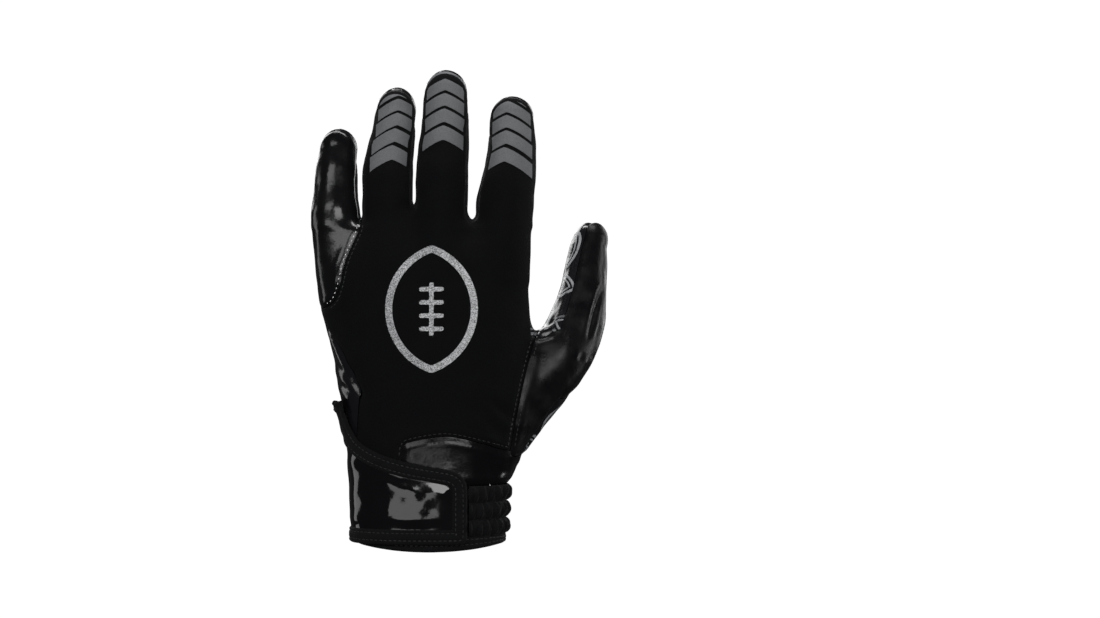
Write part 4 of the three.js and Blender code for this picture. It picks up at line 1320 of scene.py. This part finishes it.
def make_strap_stitches():
    runs = []
    for inset in SEWING_ROWS:
        path = dense(beside(dense(strap_outline(), 0.5), inset))
        path = path[(path[:, 0] > -39) & (path[:, 1] > 4) & (path[:, 1] < 66)]
        runs.append(surface_run(tree_of("strap_binding"), path))
    make_stitches("strap_stitches", runs, radius=0.19)


def make_hem_stitches():
    angles = np.linspace(0, 2 * math.pi, 500)
    lift = HEM_PROUD - 0.12
    runs = []
    for share in HEM_SEWING_ROWS:
        ring = hem_ring(angles, lift, share)
        runs.append((ring, section_points(angles, ring[:, 2], lift + 1) - ring))
    make_stitches("hem_stitches", runs, radius=0.19)


hand = formed_hand()
make_panels(hand)
hand_back = hand.cut(lambda p: FILM_REACH - p[:, 1])
hand_back.push(FILM_LIFT)
make_bands(hand_back)
make_badge(hand_back)
make_strap()
make_hem()
make_elastic()
make_panel_stitches()
make_strap_stitches()
make_hem_stitches()

# Camera, lights and studio, in metres
camera = add_object("camera", bpy.data.cameras.new("camera"))
camera.data.lens = 78.3
camera.location = (0.0547, -1.1, 0.110)
camera.rotation_euler = (math.pi / 2, 0, 0)
bpy.context.scene.camera = camera

# Name, place, target, size and power
SOFTBOXES = [
    ("key", (-0.55, -0.9, 0.75), (0, 0, 0.11), (0.6, 0.5), 5),
    ("front", (0.25, -1.4, 0.5), (0, 0, 0.11), (0.7, 0.7), 14),
    ("low_front", (-0.34, -1.15, -0.02), (0, 0, 0.03), (0.75, 0.24), 1.7),
    ("left_strip", (-0.9, 0.25, 0.12), (0, 0, 0.1), (0.25, 0.7), 1.1),
    ("right_strip", (0.8, 0.2, 0.12), (0, 0, 0.1), (0.12, 0.6), 2.6),
    ("top_strip", (0.05, 0.1, 0.75), (0, 0, 0.1), (0.6, 0.12), 3),
    ("palm_left", (-0.6, 1.3, 0.8), (0, 0, 0.11), (1.0, 0.9), 9),
    ("palm_right", (0.9, 1.2, 0.4), (0, 0, 0.11), (0.4, 1.0), 4),
]
STUDIO_RADIUS = 4.0
STUDIO_BEND = 1.2
STUDIO_FLOOR = -1.0
STUDIO_TOP = 4.0
STUDIO_SIDES = 96


def add_softboxes():
    for name, place, target, size, power in SOFTBOXES:
        light = add_object(name, bpy.data.lights.new(name, "AREA"))
        light.data.shape = "RECTANGLE"
        light.data.size, light.data.size_y = size
        light.data.energy = power
        light.location = place
        light.rotation_euler = (Vector(target) - Vector(place)).to_track_quat("-Z", "Y").to_euler()


def add_studio():
    """Pale studio: a round floor that bends up into a wall on every side."""
    bend = np.linspace(0, math.pi / 2, 13)
    profile = [(0.01, STUDIO_FLOOR)]
    radii = STUDIO_RADIUS - STUDIO_BEND + STUDIO_BEND * np.sin(bend)
    profile += zip(radii, STUDIO_FLOOR + STUDIO_BEND - STUDIO_BEND * np.cos(bend))
    profile.append((STUDIO_RADIUS, STUDIO_TOP))
    turns = np.linspace(0, 2 * math.pi, STUDIO_SIDES, endpoint=False)
    verts = [(r * math.cos(a), r * math.sin(a), z) for r, z in profile for a in turns]
    faces = [tuple(range(STUDIO_SIDES))]
    for row in range(len(profile) - 1):
        for i in range(STUDIO_SIDES):
            a, b = (row * STUDIO_SIDES + k % STUDIO_SIDES for k in (i, i + 1))
            faces.append((b, a, a + STUDIO_SIDES, b + STUDIO_SIDES))
    mesh = bpy.data.meshes.new("studio")
    mesh.from_pydata(verts, [], faces)
    mesh.polygons.foreach_set("use_smooth", [True] * len(mesh.polygons))
    n = Nodes("studio_white")
    n.set(Base_Color=(0.9, 0.9, 0.9, 1), Roughness=0.9, Specular_IOR_Level=0.0)
    n.set(Emission_Color=(1, 1, 1, 1), Emission_Strength=0.93)
    mesh.materials.append(n.material)
    stage = add_object("studio", mesh)
    stage.visible_glossy = False
    stage.visible_diffuse = False


add_softboxes()
add_studio()
world = bpy.data.worlds.new("world")
bpy.context.scene.world = world
world.use_nodes = True
world.node_tree.nodes["Background"].inputs["Color"].default_value = (0.04, 0.04, 0.042, 1)
bpy.context.scene.view_settings.view_transform = "Standard"
